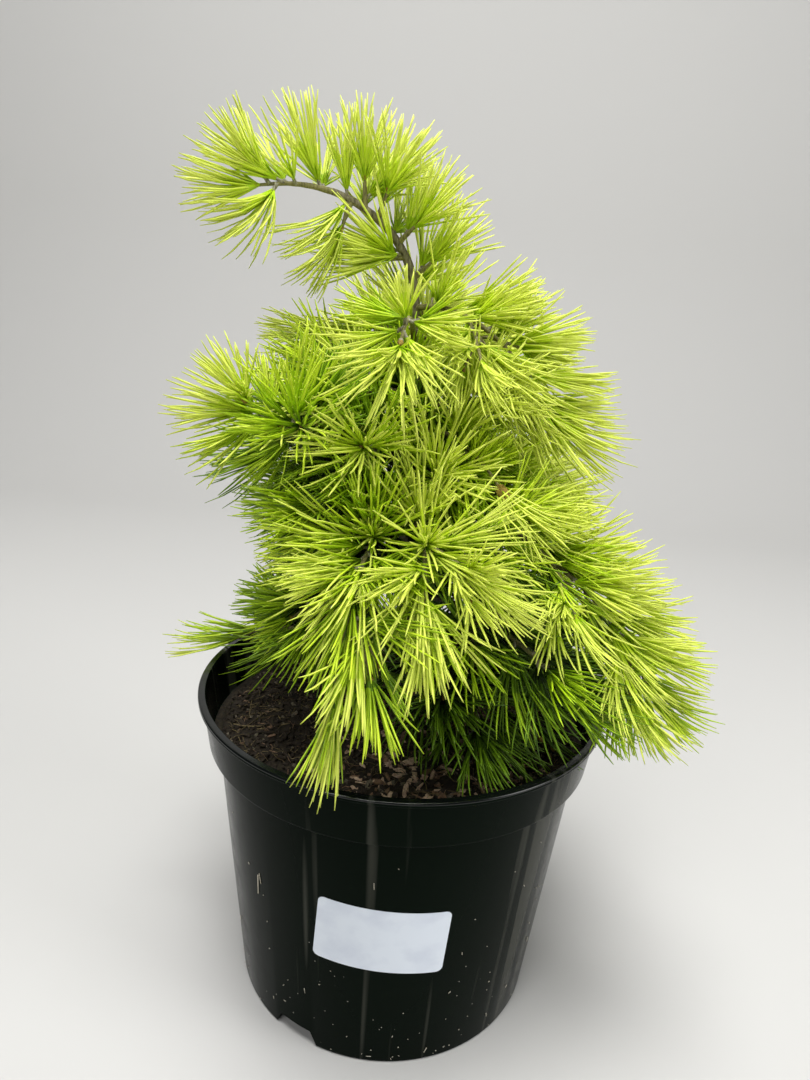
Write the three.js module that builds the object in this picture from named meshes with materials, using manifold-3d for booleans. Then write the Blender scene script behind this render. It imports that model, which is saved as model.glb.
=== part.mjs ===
// A young golden deodar cedar in a round black nursery pot, at its real size.
// Millimetres, +Z up. The origin is the centre of the pot's flat underside, and
// +Y runs from the front of the plant to its back. Bearings are degrees from +X
// towards +Y, so the front is -90, and slopes are degrees above the level.
import * as THREE from 'three';
import { mergeVertices } from 'three/addons/utils/BufferGeometryUtils.js';
import Module from 'manifold-3d';

const wasm = await Module();
wasm.setup();

// Gap between two pieces that touch
const CLEAR = 0.3;

// Pot: a tapering body under a wider collar, with a bead round the rim
const POT_HEIGHT = 170;
const RIM_RADIUS = 106;
const RIM_BEAD = 3;
const COLLAR_TOP_RADIUS = 103.6;
const COLLAR_FOOT_RADIUS = 100.5;
const COLLAR_FOOT = 143;
const BODY_TOP_RADIUS = 95.5;
const BASE_RADIUS = 82;
const BASE_ROUND = 2;
const WALL = 1.6;
const FLOOR = 2.4;
const POT_SIDES = 36;

// Drain recesses in the pot's bottom edge, each with a hole in its roof
const RECESSES = 3;
const RECESS_BEARING = -121.5;
const RECESS_FOOT_HALF = 14;
const RECESS_TOP_HALF = 9.6;
const RECESS_HEIGHT = 9;
const RECESS_INNER = 68;
const DRAIN_RADIUS = 3.5;
const DRAIN_CENTRE = 74.5;

// Blank label, stuck on the front of the pot and a little askew
const LABEL_WIDTH = 62.2;
const LABEL_HEIGHT = 38.1;
const LABEL_CORNER = 3;
const LABEL_THICK = 0.5;
const LABEL_X = -2;
const LABEL_Z = 83;
const LABEL_TILT = -3.2;

// Compost: highest at the trunk, lowest at the wall, in soft lumps
const SOIL_LEVEL = 150;
const SOIL_RINGS = [{ radius: 14, drop: 0 }, { radius: 44, drop: 1.5 }, { radius: 70, drop: 3 }];
const SOIL_EDGE = 144.5;
const SOIL_LUMP = 1.3;

// Trunk: a nearly upright stem that carries on as a nodding leader
const TRUNK_X = 1;
const STEM = { bearing: 180, rise: 89.5, fall: 86.5, length: 212 };
const LEADER = { bearing: 205, sweep: -8, rise: 102, fall: -14, late: 0.68, length: 100 };
const TRUNK_LENGTH = 280;
const FLARE_RADIUS = 7.4;
const FLARE_LENGTH = 14;
const TRUNK_RADIUS = 4.9;
const TRUNK_TIP_RADIUS = 1.5;
const TRUNK_SIDES = 8;

// Limbs, and the four-sided twigs whose faces rise into needles
const STEP = 11;
const BOUGH_SIDES = 5;
const BOUGH_RADIUS = 2.3;
const BOUGH_TIP_RADIUS = 1.5;
const COLLAR_SWELL = 0.9;
const TWIG_SIDES = 4;
const TWIG_RADIUS = 1.8;
const TWIG_TIP_RADIUS = 1.25;
const SIDE_RADIUS = 0.85;
const SIDE_TIP_RADIUS = 1.1;
const SIDE_LENGTH = 32;
const SIDE_SPLAY = 52;

// Needles stand in whorls along a twig and in a brush at its tip. Each lean is
// the angle between the twig and the needles on one band of its faces.
const NEEDLE_LENGTH = 38;
const NEEDLE_THICK = 1.1;
const BAND = 3;
const NODE_GAP = 7;
const BARE_ROOT = 4;
const CAP_LEAN = 8;
const BRUSH_LEANS = [24, 38, 52, 64];
const WHORL_LEANS = [56, 70];
const LEAN_JITTER = 10;
const ASIDE_JITTER = 0.3;
const TIP_SHARE = 0.72;
const KEPT_SHARE = 0.78;
const TRIES = 5;
const SHORTER = 0.84;
const FREE_FROM = 8;
const OVERREACH = 14;
const MASS_GAP = 2;

// The boughs, from the top down: where each leaves the trunk, measured along it
// from the soil, its bearing, how far that sweeps round, its slope at the foot
// and at the tip, how late it bends, its length, the bare part of that, and its
// side shoots.
const BOUGHS = [
  { name: 'left', along: 150, bearing: 203, sweep: 36, rise: -6, fall: 34, length: 97, bare: 20, sides: 2 },
  { name: 'back_mid', along: 136, bearing: 82, rise: 22, fall: -25, length: 92, bare: 22, sides: 1 },
  { name: 'right_back', along: 129, bearing: 12, rise: 20, fall: -18, length: 72, bare: 22, sides: 2 },
  { name: 'left_back', along: 109, bearing: 170, rise: 20, fall: -8, length: 56, bare: 24, sides: 1 },
  { name: 'big_right', along: 115, bearing: -46, sweep: 46, rise: 30, fall: -64, late: 0.72, length: 156, bare: 30, sides: 6 },
  { name: 'hanging_front_right', along: 103, bearing: -86, rise: 26, fall: -80, late: 2.6, length: 118, bare: 30, sides: 2 },
  { name: 'hanging_front_left', along: 92, bearing: -103, rise: 46, fall: -90, late: 1.35, length: 150, bare: 34, sides: 2 },
  { name: 'right_back_low', along: 85, bearing: 44, rise: 26, fall: -35, length: 108, bare: 26, sides: 1 },
  { name: 'left_back_low', along: 79, bearing: 122, rise: 26, fall: -30, length: 78, bare: 26, sides: 2 },
  { name: 'back_low', along: 61, bearing: 86, rise: 28, fall: -36, length: 102, bare: 28, sides: 2 },
  { name: 'low_right_front', along: 69, bearing: -64, sweep: 40, rise: 30, fall: -42, length: 110, bare: 34, sides: 2 },
  { name: 'low_right_back', along: 52, bearing: 14, rise: 20, fall: -24, length: 96, bare: 30, sides: 2 },
  { name: 'low_right', along: 43, bearing: -50, sweep: 30, rise: 16, fall: -46, length: 90, bare: 30, sides: 2 },
  { name: 'low_left', along: 28, bearing: 164, rise: 21, fall: -34, late: 1.6, length: 100, bare: 36, sides: 1 },
];

// Shoots that are leafy right from the trunk, in the same terms
const SPURS = [
  { name: 'crest', along: 264, bearing: 250, rise: 82, fall: 82, length: 12, sides: 0 },
  { name: 'under_bow', along: 271, bearing: 215, rise: -70, fall: -70, length: 12, sides: 0 },
  { name: 'nod', along: 257, bearing: -40, rise: 66, fall: 66, length: 12, sides: 0 },
  { name: 'knee_right', along: 243, bearing: -34, rise: 40, fall: 40, length: 12, sides: 0 },
  { name: 'knee_left', along: 236, bearing: 190, rise: -10, fall: -10, length: 12, sides: 0 },
  { name: 'shoulder_right', along: 226, bearing: -22, rise: 42, fall: 42, length: 12, sides: 0 },
  { name: 'upper_right', along: 213, bearing: -42, sweep: 42, rise: 22, fall: -66, late: 0.7, length: 82, sides: 1 },
  { name: 'upper_front', along: 192, bearing: -94, rise: 44, fall: -28, length: 80, sides: 0 },
  { name: 'upper_back', along: 206, bearing: 78, rise: 25, fall: -12, length: 60, sides: 0 },
  { name: 'right_back_high', along: 178, bearing: 35, rise: 22, fall: -14, length: 76, sides: 2 },
  { name: 'left_back_high', along: 185, bearing: 125, rise: 22, fall: -12, length: 66, sides: 1 },
  { name: 'right_mid', along: 171, bearing: -20, rise: 20, fall: -8, length: 62, sides: 1 },
  { name: 'front_right_mid', along: 157, bearing: -56, rise: 14, fall: -36, length: 72, sides: 0 },
  { name: 'front_star', along: 143, bearing: -109, rise: 18, fall: 8, length: 66, sides: 0 },
  { name: 'left_front', along: 122, bearing: 231, rise: 20, fall: -8, length: 68, sides: 1 },
  { name: 'upper_left', along: 202, bearing: 157, rise: 10, fall: -20, length: 44, sides: 0 },
  { name: 'mid_right_star', along: 163, bearing: -42, rise: 30, fall: 8, length: 44, sides: 0 },
  { name: 'front_high', along: 173, bearing: -124, rise: 16, fall: -14, length: 50, sides: 0 },
  { name: 'left_mid', along: 166, bearing: 186, rise: 14, fall: -18, length: 54, sides: 1 },
  { name: 'centre_front', along: 131, bearing: -80, rise: 24, fall: 4, length: 54, sides: 1 },
  { name: 'centre_right', along: 137, bearing: -40, rise: 12, fall: -22, length: 66, sides: 1 },
  { name: 'left_low', along: 87, bearing: 205, rise: 14, fall: -30, length: 56, sides: 2 },
  { name: 'right_high', along: 199, bearing: -8, rise: 18, fall: -20, length: 52, sides: 0 },
  { name: 'left_high', along: 181, bearing: 214, rise: 14, fall: -14, length: 46, sides: 0 },
  { name: 'low_front', along: 34, bearing: -74, rise: 22, fall: 2, length: 66, sides: 0 },
];

// Bare wood, needles in sun and shade, and the pot's own materials
const finish = (color, roughness, metalness = 0) => new THREE.MeshStandardMaterial({ color, roughness, metalness });
const BLACK_PLASTIC = finish(0x0e100f, 0.22);
const COMPOST = finish(0x33261b, 0.95);
const WHITE_LABEL = finish(0xe6e9f0, 0.5);
const BARK = finish(0x6e6450, 0.9);
const GOLDEN_NEEDLES = finish(0xc4d83a, 0.55);
const GREEN_NEEDLES = finish(0x5f7f22, 0.6);

const rad = THREE.MathUtils.degToRad;
const { lerp } = THREE.MathUtils;

// A repeatable run of draws from 0 to 1, from a whole number above 0
function draws(seed) {
  let state = seed;
  return () => {
    state = (state * 48271) % 2147483647;
    return state / 2147483647;
  };
}

// Closed body to cut and join: shared corners merged, slivers at the axis dropped
function solid(geometry) {
  const bare = geometry.index ? geometry.toNonIndexed() : geometry.clone();
  bare.deleteAttribute('normal');
  bare.deleteAttribute('uv');
  const merged = mergeVertices(bare, 1e-3);
  const corners = merged.index.array;
  const triVerts = [];
  for (let i = 0; i < corners.length; i += 3) {
    const [a, b, c] = corners.slice(i, i + 3);
    if (a !== b && b !== c && c !== a) triVerts.push(a, b, c);
  }
  return new wasm.Manifold(new wasm.Mesh({
    numProp: 3,
    vertProperties: merged.attributes.position.array,
    triVerts: Uint32Array.from(triVerts),
  }));
}

// The other way: a body's corners and triangles as a geometry
function surface(body) {
  const { vertProperties, triVerts } = body.getMesh();
  const geometry = new THREE.BufferGeometry();
  geometry.setAttribute('position', new THREE.BufferAttribute(Float32Array.from(vertProperties), 3));
  geometry.setIndex(new THREE.BufferAttribute(Uint32Array.from(triVerts), 1));
  geometry.computeVertexNormals();
  return geometry;
}

function node(name, body, material) {
  const mesh = new THREE.Mesh(surface(body), material);
  mesh.name = name;
  return mesh;
}

// A profile of [radius, height] pairs turned round the upright axis
function turned(profile) {
  const points = profile.map(([radius, height]) => new THREE.Vector2(radius, height));
  return new THREE.LatheGeometry(points, POT_SIDES).rotateX(Math.PI / 2);
}

// An outline seen from the front, carried back from y = -near to y = -far
function carved(outline, near, far, segments = 3) {
  const depth = near - far;
  const block = new THREE.ExtrudeGeometry(outline, { depth, bevelEnabled: false, curveSegments: segments });
  return block.rotateX(Math.PI / 2).translate(0, -far, 0);
}

// Outer radius of the pot's body, which tapers evenly below the collar
const bodyRadius = (z) => lerp(BASE_RADIUS, BODY_TOP_RADIUS, z / COLLAR_FOOT);

// One drain recess, grown outwards by the given amount
function recess(grow, bearing) {
  const outline = new THREE.Shape([
    new THREE.Vector2(-RECESS_FOOT_HALF - grow, -2),
    new THREE.Vector2(RECESS_FOOT_HALF + grow, -2),
    new THREE.Vector2(RECESS_TOP_HALF + grow, RECESS_HEIGHT + grow),
    new THREE.Vector2(-RECESS_TOP_HALF - grow, RECESS_HEIGHT + grow),
  ]);
  return solid(carved(outline, RIM_RADIUS, RECESS_INNER - grow).rotateZ(rad(bearing + 90)));
}

function recesses(grow) {
  const bearings = Array.from({ length: RECESSES }, (_, i) => RECESS_BEARING + (360 / RECESSES) * i);
  return bearings.map((bearing) => recess(grow, bearing)).reduce((all, one) => all.add(one));
}

function drains() {
  const bearings = Array.from({ length: RECESSES }, (_, i) => rad(RECESS_BEARING + (360 / RECESSES) * i));
  const hole = new THREE.CylinderGeometry(DRAIN_RADIUS, DRAIN_RADIUS, 8, 8).rotateX(Math.PI / 2);
  return bearings
    .map((b) => hole.clone().translate(DRAIN_CENTRE * Math.cos(b), DRAIN_CENTRE * Math.sin(b), RECESS_HEIGHT))
    .map(solid)
    .reduce((all, one) => all.add(one));
}

function pot() {
  const rim = POT_HEIGHT - RIM_BEAD;
  const outside = solid(turned([
    [0, 0],
    [BASE_RADIUS - BASE_ROUND, 0],
    [bodyRadius(BASE_ROUND), BASE_ROUND],
    [BODY_TOP_RADIUS, COLLAR_FOOT],
    [COLLAR_FOOT_RADIUS, COLLAR_FOOT],
    [COLLAR_TOP_RADIUS, rim],
    [RIM_RADIUS, rim],
    [RIM_RADIUS, POT_HEIGHT],
    [0, POT_HEIGHT],
  ]));
  const ledge = COLLAR_FOOT + WALL;
  const inside = solid(turned([
    [0, FLOOR],
    [bodyRadius(FLOOR) - WALL, FLOOR],
    [BODY_TOP_RADIUS - WALL, ledge],
    [COLLAR_FOOT_RADIUS - WALL, ledge],
    [COLLAR_TOP_RADIUS - WALL, POT_HEIGHT + 1],
    [0, POT_HEIGHT + 1],
  ]));
  const hollow = inside.subtract(recesses(WALL));
  return outside.subtract(hollow).subtract(recesses(0)).subtract(drains());
}

function soil() {
  const foot = FLOOR + CLEAR;
  const profile = [
    [0, foot],
    [bodyRadius(foot) - WALL - CLEAR, foot],
    [lerp(bodyRadius(foot), BODY_TOP_RADIUS, 0.985) - WALL - CLEAR, SOIL_EDGE],
    ...SOIL_RINGS.toReversed().map(({ radius, drop }) => [radius, SOIL_LEVEL - CLEAR - drop]),
    [0, SOIL_LEVEL - CLEAR],
  ];
  const geometry = turned(profile);
  const { position } = geometry.attributes;
  for (let i = 0; i < position.count; i++) {
    const [x, y, z] = [position.getX(i), position.getY(i), position.getZ(i)];
    const radius = Math.hypot(x, y);
    if (z > SOIL_EDGE && radius > SOIL_RINGS[0].radius + 1) {
      position.setZ(i, z + SOIL_LUMP * Math.sin(x / 9 + 1) * Math.cos(y / 11));
    }
  }
  return solid(geometry).subtract(recesses(WALL + CLEAR));
}

function label() {
  const skin = (out) => [LABEL_Z - LABEL_HEIGHT, LABEL_Z + LABEL_HEIGHT].map((z) => [bodyRadius(z) + out, z]);
  const shell = solid(turned([...skin(CLEAR + LABEL_THICK), ...skin(CLEAR).toReversed(), skin(CLEAR + LABEL_THICK)[0]]));
  const [w, h, r] = [LABEL_WIDTH / 2, LABEL_HEIGHT / 2, LABEL_CORNER];
  const outline = new THREE.Shape();
  outline.absarc(w - r, h - r, r, 0, Math.PI / 2);
  outline.absarc(r - w, h - r, r, Math.PI / 2, Math.PI);
  outline.absarc(r - w, r - h, r, Math.PI, 1.5 * Math.PI);
  outline.absarc(w - r, r - h, r, 1.5 * Math.PI, 2 * Math.PI);
  const cutter = carved(outline, RIM_RADIUS, BASE_RADIUS / 2).rotateY(rad(-LABEL_TILT)).translate(LABEL_X, 0, LABEL_Z);
  return shell.intersect(solid(cutter));
}

function heading(bearing, slope) {
  const [b, s] = [rad(bearing), rad(slope)];
  return new THREE.Vector3(Math.cos(s) * Math.cos(b), Math.cos(s) * Math.sin(b), Math.sin(s));
}

// Bearing and slope of a shoot at a share t of its length
function course({ bearing, sweep = 0, rise, fall, late = 1 }, t) {
  return [bearing + sweep * t, rise + (fall - rise) * t ** late];
}

// The line that a shoot grows along, in equal steps from its foot
function grow(foot, shoot) {
  const steps = Math.max(2, Math.round(shoot.length / STEP));
  const line = [foot];
  for (let i = 0; i < steps; i++) {
    const ahead = heading(...course(shoot, (i + 0.5) / steps));
    line.push(line.at(-1).clone().addScaledVector(ahead, shoot.length / steps));
  }
  return line;
}

// Point and direction at a distance along a line
function spot(line, distance) {
  let left = Math.max(0, distance);
  for (let i = 1; i < line.length; i++) {
    const span = line[i].distanceTo(line[i - 1]);
    if (left <= span || i === line.length - 1) {
      const ahead = line[i].clone().sub(line[i - 1]).normalize();
      return { point: line[i - 1].clone().addScaledVector(ahead, Math.min(left, span)), ahead };
    }
    left -= span;
  }
  return null;
}

const lengthOf = (line) => line.slice(1).reduce((sum, point, i) => sum + point.distanceTo(line[i]), 0);

// The part of a line from one distance along it to another
function stretch(line, from, to) {
  const inner = [];
  let run = 0;
  for (let i = 1; i < line.length; i++) {
    run += line[i].distanceTo(line[i - 1]);
    if (run > from + 1 && run < to - 1) inner.push(line[i]);
  }
  return [spot(line, from).point, ...inner, spot(line, to).point];
}

// Two directions square to a third
function across(ahead) {
  const aside = new THREE.Vector3(0, 0, 1).cross(ahead);
  if (aside.length() < 0.1) aside.set(1, 0, 0).cross(ahead);
  aside.normalize();
  return [aside, ahead.clone().cross(aside)];
}

// Rings of corners along a line, carried along without twisting. Each ring is a
// distance along, a radius and the share of a side that it is turned by.
function rings(line, places, sides) {
  let [aside] = across(spot(line, 0).ahead);
  return places.map(({ at, radius, turn = 0 }) => {
    const { point, ahead } = spot(line, at);
    aside = aside.clone().addScaledVector(ahead, -aside.dot(ahead)).normalize();
    const up = ahead.clone().cross(aside);
    return Array.from({ length: sides }, (_, k) => {
      const angle = (2 * Math.PI * (k + turn)) / sides;
      return point.clone().addScaledVector(aside, Math.cos(angle) * radius).addScaledVector(up, Math.sin(angle) * radius);
    });
  });
}

function closed(corners, faces) {
  const geometry = new THREE.BufferGeometry().setFromPoints(corners);
  geometry.setIndex(faces.flat());
  return solid(geometry);
}

// A tapering limb with flat ends; radiusAt takes the distance from the foot
function limb(line, radiusAt, sides) {
  const runs = line.map((_, i) => lengthOf(line.slice(0, i + 1)));
  const corners = rings(line, runs.map((at) => ({ at, radius: radiusAt(at) })), sides).flat();
  const faces = [];
  for (let i = 0; i < line.length - 1; i++) {
    for (let k = 0; k < sides; k++) {
      const [a, b] = [i * sides + k, i * sides + ((k + 1) % sides)];
      faces.push([a, b, b + sides], [a, b + sides, a + sides]);
    }
  }
  const last = (line.length - 1) * sides;
  for (let k = 1; k < sides - 1; k++) {
    faces.push([0, k + 1, k], [last, last + k, last + k + 1]);
  }
  return closed(corners, faces);
}

// The trunk's line, from the middle of the soil, and its radius along it
const stemLine = grow(new THREE.Vector3(), STEM);
const trunkLine = [...stemLine, ...grow(stemLine.at(-1), LEADER).slice(1)];

function trunkRadius(run) {
  const flare = (FLARE_RADIUS - TRUNK_RADIUS) * Math.max(0, 1 - run / FLARE_LENGTH) ** 2;
  return flare + lerp(TRUNK_RADIUS, TRUNK_TIP_RADIUS, Math.min(1, run / TRUNK_LENGTH) ** 0.8);
}

// Radius of a bough, which swells where it leaves the trunk
function boughRadius({ bare, length }) {
  const foot = BOUGH_RADIUS * Math.min(1.25, 0.7 + length / 300);
  const swell = (run) => COLLAR_SWELL * Math.max(0, 1 - (run - TRUNK_RADIUS) / 8);
  return (run) => lerp(foot, BOUGH_TIP_RADIUS, Math.min(1, run / bare)) + swell(run);
}

function twigRadius({ line, side }) {
  const length = lengthOf(line);
  const [from, to] = side ? [SIDE_RADIUS, SIDE_TIP_RADIUS] : [TWIG_RADIUS, TWIG_TIP_RADIUS];
  return (run) => lerp(from, to, Math.min(1, run / length));
}

// Every bough, spur and the leader, with its line and where its needles start
function plan() {
  const foot = (row) => spot(trunkLine, row.along).point;
  const boughs = BOUGHS.map((row) => ({ ...row, kind: 'bough', line: grow(foot(row), row) }));
  const spurs = SPURS.map((row) => ({ ...row, kind: 'spur', bare: 0, line: grow(foot(row), row) }));
  const tip = stretch(trunkLine, TRUNK_LENGTH, STEM.length + LEADER.length);
  const leader = { ...LEADER, name: 'leader', kind: 'leader', sides: 0, bare: 0, line: tip };
  return [...boughs, ...spurs, leader].map((shoot, i) => {
    const start = { bough: shoot.bare + CLEAR, spur: 0, leader: CLEAR }[shoot.kind];
    return { ...shoot, seed: 101 + 37 * i, stem: stretch(shoot.line, start, lengthOf(shoot.line)) };
  });
}

const shoots = plan();

// A straight, tapering length of limb, twig or needle, to measure gaps between
function rod(start, end, thick, thin, twig) {
  const axis = new THREE.Line3(start, end);
  const middle = axis.getCenter(new THREE.Vector3());
  return { axis, middle, length: axis.distance(), thick, thin, twig };
}

function rods(line, radiusAt, twig) {
  let run = 0;
  return line.slice(1).map((point, i) => {
    const from = run;
    run += point.distanceTo(line[i]);
    return rod(line[i], point, radiusAt(from), radiusAt(run), twig);
  });
}

// The gap between two rods' surfaces where they come nearest
function gap(one, other) {
  const apart = one.middle.distanceTo(other.middle) - (one.length + other.length) / 2;
  if (apart > FLARE_RADIUS + MASS_GAP) return apart;
  const [onOne, onOther] = [new THREE.Vector3(), new THREE.Vector3()];
  const distance = Math.sqrt(one.axis.distanceSqToLine3(other.axis, onOne, onOther));
  const radiusAt = ({ axis, length, thick, thin }, point) => lerp(thick, thin, point.distanceTo(axis.start) / length);
  return distance - radiusAt(one, onOne) - radiusAt(other, onOther);
}

// Bare limbs, which twigs and needles keep clear of
const limbs = [
  ...rods(stretch(trunkLine, 0, TRUNK_LENGTH), trunkRadius),
  ...shoots.filter(({ kind }) => kind === 'bough')
    .flatMap((shoot) => rods(stretch(shoot.line, 0, shoot.bare), boughRadius(shoot))),
];

// A mass keeps to the space round its own stem: no point of it lies nearer
// another mass's stem than its own by more than a few millimetres
function distanceTo(line, point) {
  const spans = line.slice(1).map((end, i) => new THREE.Line3(line[i], end));
  return Math.min(...spans.map((span) => span.closestPointToPoint(point, true, new THREE.Vector3()).distanceTo(point)));
}

function inOwnSpace(point, shoot) {
  const own = distanceTo(shoot.stem, point) - OVERREACH;
  return shoots.every((other) => other === shoot || distanceTo(other.stem, point) > own);
}

// Clear of the pot's rim and wall, and of the compost
function clearOfPot({ axis, thick }) {
  const spots = [0, 0.2, 0.4, 0.6, 0.8, 1].map((t) => axis.at(t, new THREE.Vector3()));
  return spots.every((point) => {
    const height = point.z + SOIL_LEVEL;
    const out = Math.hypot(point.x + TRUNK_X, point.y);
    const room = thick + 1;
    const overSoil = height > SOIL_LEVEL + SOIL_LUMP + room && out < COLLAR_FOOT_RADIUS - WALL - room;
    return overSoil || height > POT_HEIGHT + room || out > RIM_RADIUS + room;
  });
}

// The stem's side shoots: alternate, splayed, each a little drooping
function sideShoots(shoot, draw) {
  const twigs = [];
  const stemLength = lengthOf(shoot.stem);
  for (let i = 0; i < shoot.sides; i++) {
    const share = (i + 0.6 + 0.3 * draw()) / (shoot.sides + 0.7);
    const { point } = spot(shoot.stem, share * stemLength);
    const [bearing, slope] = course(shoot, lerp(shoot.bare / shoot.length, 1, share));
    const hand = i % 2 ? 1 : -1;
    const line = grow(point, {
      bearing: bearing + hand * SIDE_SPLAY * (0.8 + 0.4 * draw()),
      rise: Math.max(-60, slope + 8),
      fall: Math.max(-80, slope - 22),
      length: SIDE_LENGTH * (0.75 + 0.5 * draw()),
    });
    const side = { line, shoot, side: true };
    const parts = rods(line, twigRadius(side), side);
    const clear = parts.every((one) => (
      clearOfPot(one)
      && limbs.every((other) => gap(one, other) > CLEAR)
      && twigRods.every((other) => other.twig.shoot === shoot || gap(one, other) > CLEAR)));
    if (clear && line.every((p) => inOwnSpace(p, shoot))) {
      twigs.push(side);
      twigRods.push(...parts);
    }
  }
  return twigs;
}

const stems = shoots.map((shoot) => ({ line: shoot.stem, shoot }));
const twigRods = stems.flatMap((stem) => rods(stem.line, twigRadius(stem), stem));
for (const stem of stems) {
  stem.shoot.twigs = [stem, ...sideShoots(stem.shoot, draws(stem.shoot.seed))];
}
const needleRods = [];

// A twig's bands from root to tip, each with its length and its needles' lean,
// or no lean where it is bare
function bandsOf(length) {
  const bands = BRUSH_LEANS.slice(0, Math.floor((length - BARE_ROOT) / BAND)).map((lean) => ({ step: BAND, lean }));
  const node = [{ step: NODE_GAP }, ...WHORL_LEANS.map((lean) => ({ step: BAND, lean }))];
  const nodeLength = NODE_GAP + BAND * WHORL_LEANS.length;
  let left = length - BAND * bands.length;
  for (; left > nodeLength + BARE_ROOT; left -= nodeLength) bands.push(...node);
  return [...bands, { step: left }].reverse();
}

// Whether a needle stays in its mass's space and touches nothing. On its own
// twig, only the part past its root is tested, as the roots stand side by side.
function fits(one) {
  const clearOf = (other) => {
    if (other.twig === one.twig) return gap(one.free, other.free ?? other) > 0;
    return gap(one, other) > (other.twig.shoot === one.twig.shoot ? 0 : CLEAR * 2);
  };
  return inOwnSpace(one.axis.end, one.twig.shoot)
    && clearOfPot(one)
    && limbs.every((other) => gap(one, other) > CLEAR * 2)
    && twigRods.every(clearOf)
    && needleRods.every(clearOf);
}

// A needle on a face: it leans ahead and out, a little at random, and is shorter
// where there is less room for it
function needleOn(centre, axisPoint, ahead, lean, twig, draw) {
  const out = centre.clone().sub(axisPoint).projectOnPlane(ahead).normalize();
  const aside = ahead.clone().cross(out);
  for (let i = 0; i < TRIES; i++) {
    const tilt = rad(lean + LEAN_JITTER * (draw() - 0.5));
    const way = ahead.clone().multiplyScalar(Math.cos(tilt)).addScaledVector(out, Math.sin(tilt));
    way.addScaledVector(aside, ASIDE_JITTER * (draw() - 0.5)).normalize();
    const length = NEEDLE_LENGTH * lerp(TIP_SHARE, 1, Math.min(1, lean / 60)) * (0.88 + 0.24 * draw()) * SHORTER ** i;
    const tip = centre.clone().addScaledVector(way, length);
    const one = rod(centre, tip, NEEDLE_THICK, 0, twig);
    const start = centre.clone().addScaledVector(way, FREE_FROM);
    one.free = rod(start, tip, NEEDLE_THICK * (1 - FREE_FROM / length), 0, twig);
    if (fits(one)) {
      needleRods.push(one);
      return tip;
    }
  }
  return null;
}

// A twig with flat root and pointed tip, whose rings turn by half a side so that
// its faces are near even, and whose leafy faces are drawn out into needles
function leafyTwig(twig, draw) {
  const { line } = twig;
  const length = lengthOf(line);
  const radiusAt = twigRadius(twig);
  const bands = bandsOf(length);
  const places = [{ at: 0, radius: radiusAt(0) }];
  bands.forEach(({ step }, i) => {
    const at = places[i].at + step;
    places.push({ at, radius: radiusAt(at), turn: ((i + 1) % 2) / 2 });
  });
  const corners = rings(line, places, TWIG_SIDES).flat();
  const apex = corners.push(spot(line, length).point.addScaledVector(spot(line, length).ahead, 1)) - 1;
  const faces = [[0, 2, 1], [0, 3, 2]];
  const leafy = [];
  const band = (i, lean, list) => list.forEach((face) => (lean ? leafy.push({ face, lean, at: places[i].at }) : faces.push(face)));
  bands.forEach(({ lean }, i) => {
    for (let k = 0; k < TWIG_SIDES; k++) {
      const [a, b] = [i * TWIG_SIDES + k, i * TWIG_SIDES + ((k + 1) % TWIG_SIDES)];
      const [c, d] = [a + TWIG_SIDES, b + TWIG_SIDES];
      band(i, lean, i % 2 ? [[a, b, d], [a, d, c]] : [[a, b, c], [b, d, c]]);
    }
  });
  const last = bands.length * TWIG_SIDES;
  for (let k = 0; k < TWIG_SIDES; k++) {
    leafy.push({ face: [last + k, last + ((k + 1) % TWIG_SIDES), apex], lean: CAP_LEAN, at: length });
  }
  for (const { face, lean, at } of leafy) {
    const centre = face.reduce((sum, i) => sum.add(corners[i]), new THREE.Vector3()).divideScalar(3);
    const { point, ahead } = spot(line, at);
    const tip = draw() < KEPT_SHARE ? needleOn(centre, point, ahead, lean, twig, draw) : null;
    if (tip) {
      const [a, b, c] = face;
      const t = corners.push(tip) - 1;
      faces.push([a, b, t], [b, c, t], [c, a, t]);
    } else {
      faces.push(face);
    }
  }
  return closed(corners, faces);
}

// The trunk with some room round it, which cuts what springs from its side
const bole = stretch(trunkLine, 0, TRUNK_LENGTH);
const trunk = limb(bole, trunkRadius, TRUNK_SIDES);
const trunkRoom = limb(bole, (run) => trunkRadius(run) + CLEAR * 1.1, TRUNK_SIDES);

// The largest piece of a cut body
const mainPiece = (body) => body.decompose().reduce((best, one) => (one.volume() > best.volume() ? one : best));

function bough(shoot) {
  return mainPiece(limb(stretch(shoot.line, 0, shoot.bare), boughRadius(shoot), BOUGH_SIDES).subtract(trunkRoom));
}

function foliage(shoot) {
  const draw = draws(shoot.seed + 5000);
  const joined = shoot.twigs.map((twig) => leafyTwig(twig, draw)).reduce((all, one) => all.add(one));
  return mainPiece(shoot.kind === 'spur' ? joined.subtract(trunkRoom) : joined);
}

const SHADED = new Set(['low_right', 'low_front', 'low_right_back', 'low_left', 'back_low']);
const tree = new THREE.Group();
tree.position.set(TRUNK_X, 0, SOIL_LEVEL);
tree.add(node('trunk', trunk, BARK));
for (const shoot of shoots) {
  if (shoot.kind === 'bough') tree.add(node(`bough_${shoot.name}`, bough(shoot), BARK));
  const needles = SHADED.has(shoot.name) ? GREEN_NEEDLES : GOLDEN_NEEDLES;
  tree.add(node(`needles_${shoot.name}`, foliage(shoot), needles));
}

const plant = new THREE.Group();
plant.add(node('pot', pot(), BLACK_PLASTIC), node('soil', soil(), COMPOST), node('label', label(), WHITE_LABEL), tree);

export default plant;
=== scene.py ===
"""A young golden deodar cedar in a black nursery pot, dressed for its render.

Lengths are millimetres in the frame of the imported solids: +Z up, the origin in
the middle of the pot's underside, and +Y from the front of the plant to its back.
Bearings are degrees from +X towards +Y, and slopes are degrees above the level.
The needles, twigs and boughs follow the growth rule of the solids' source.
"""

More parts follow.
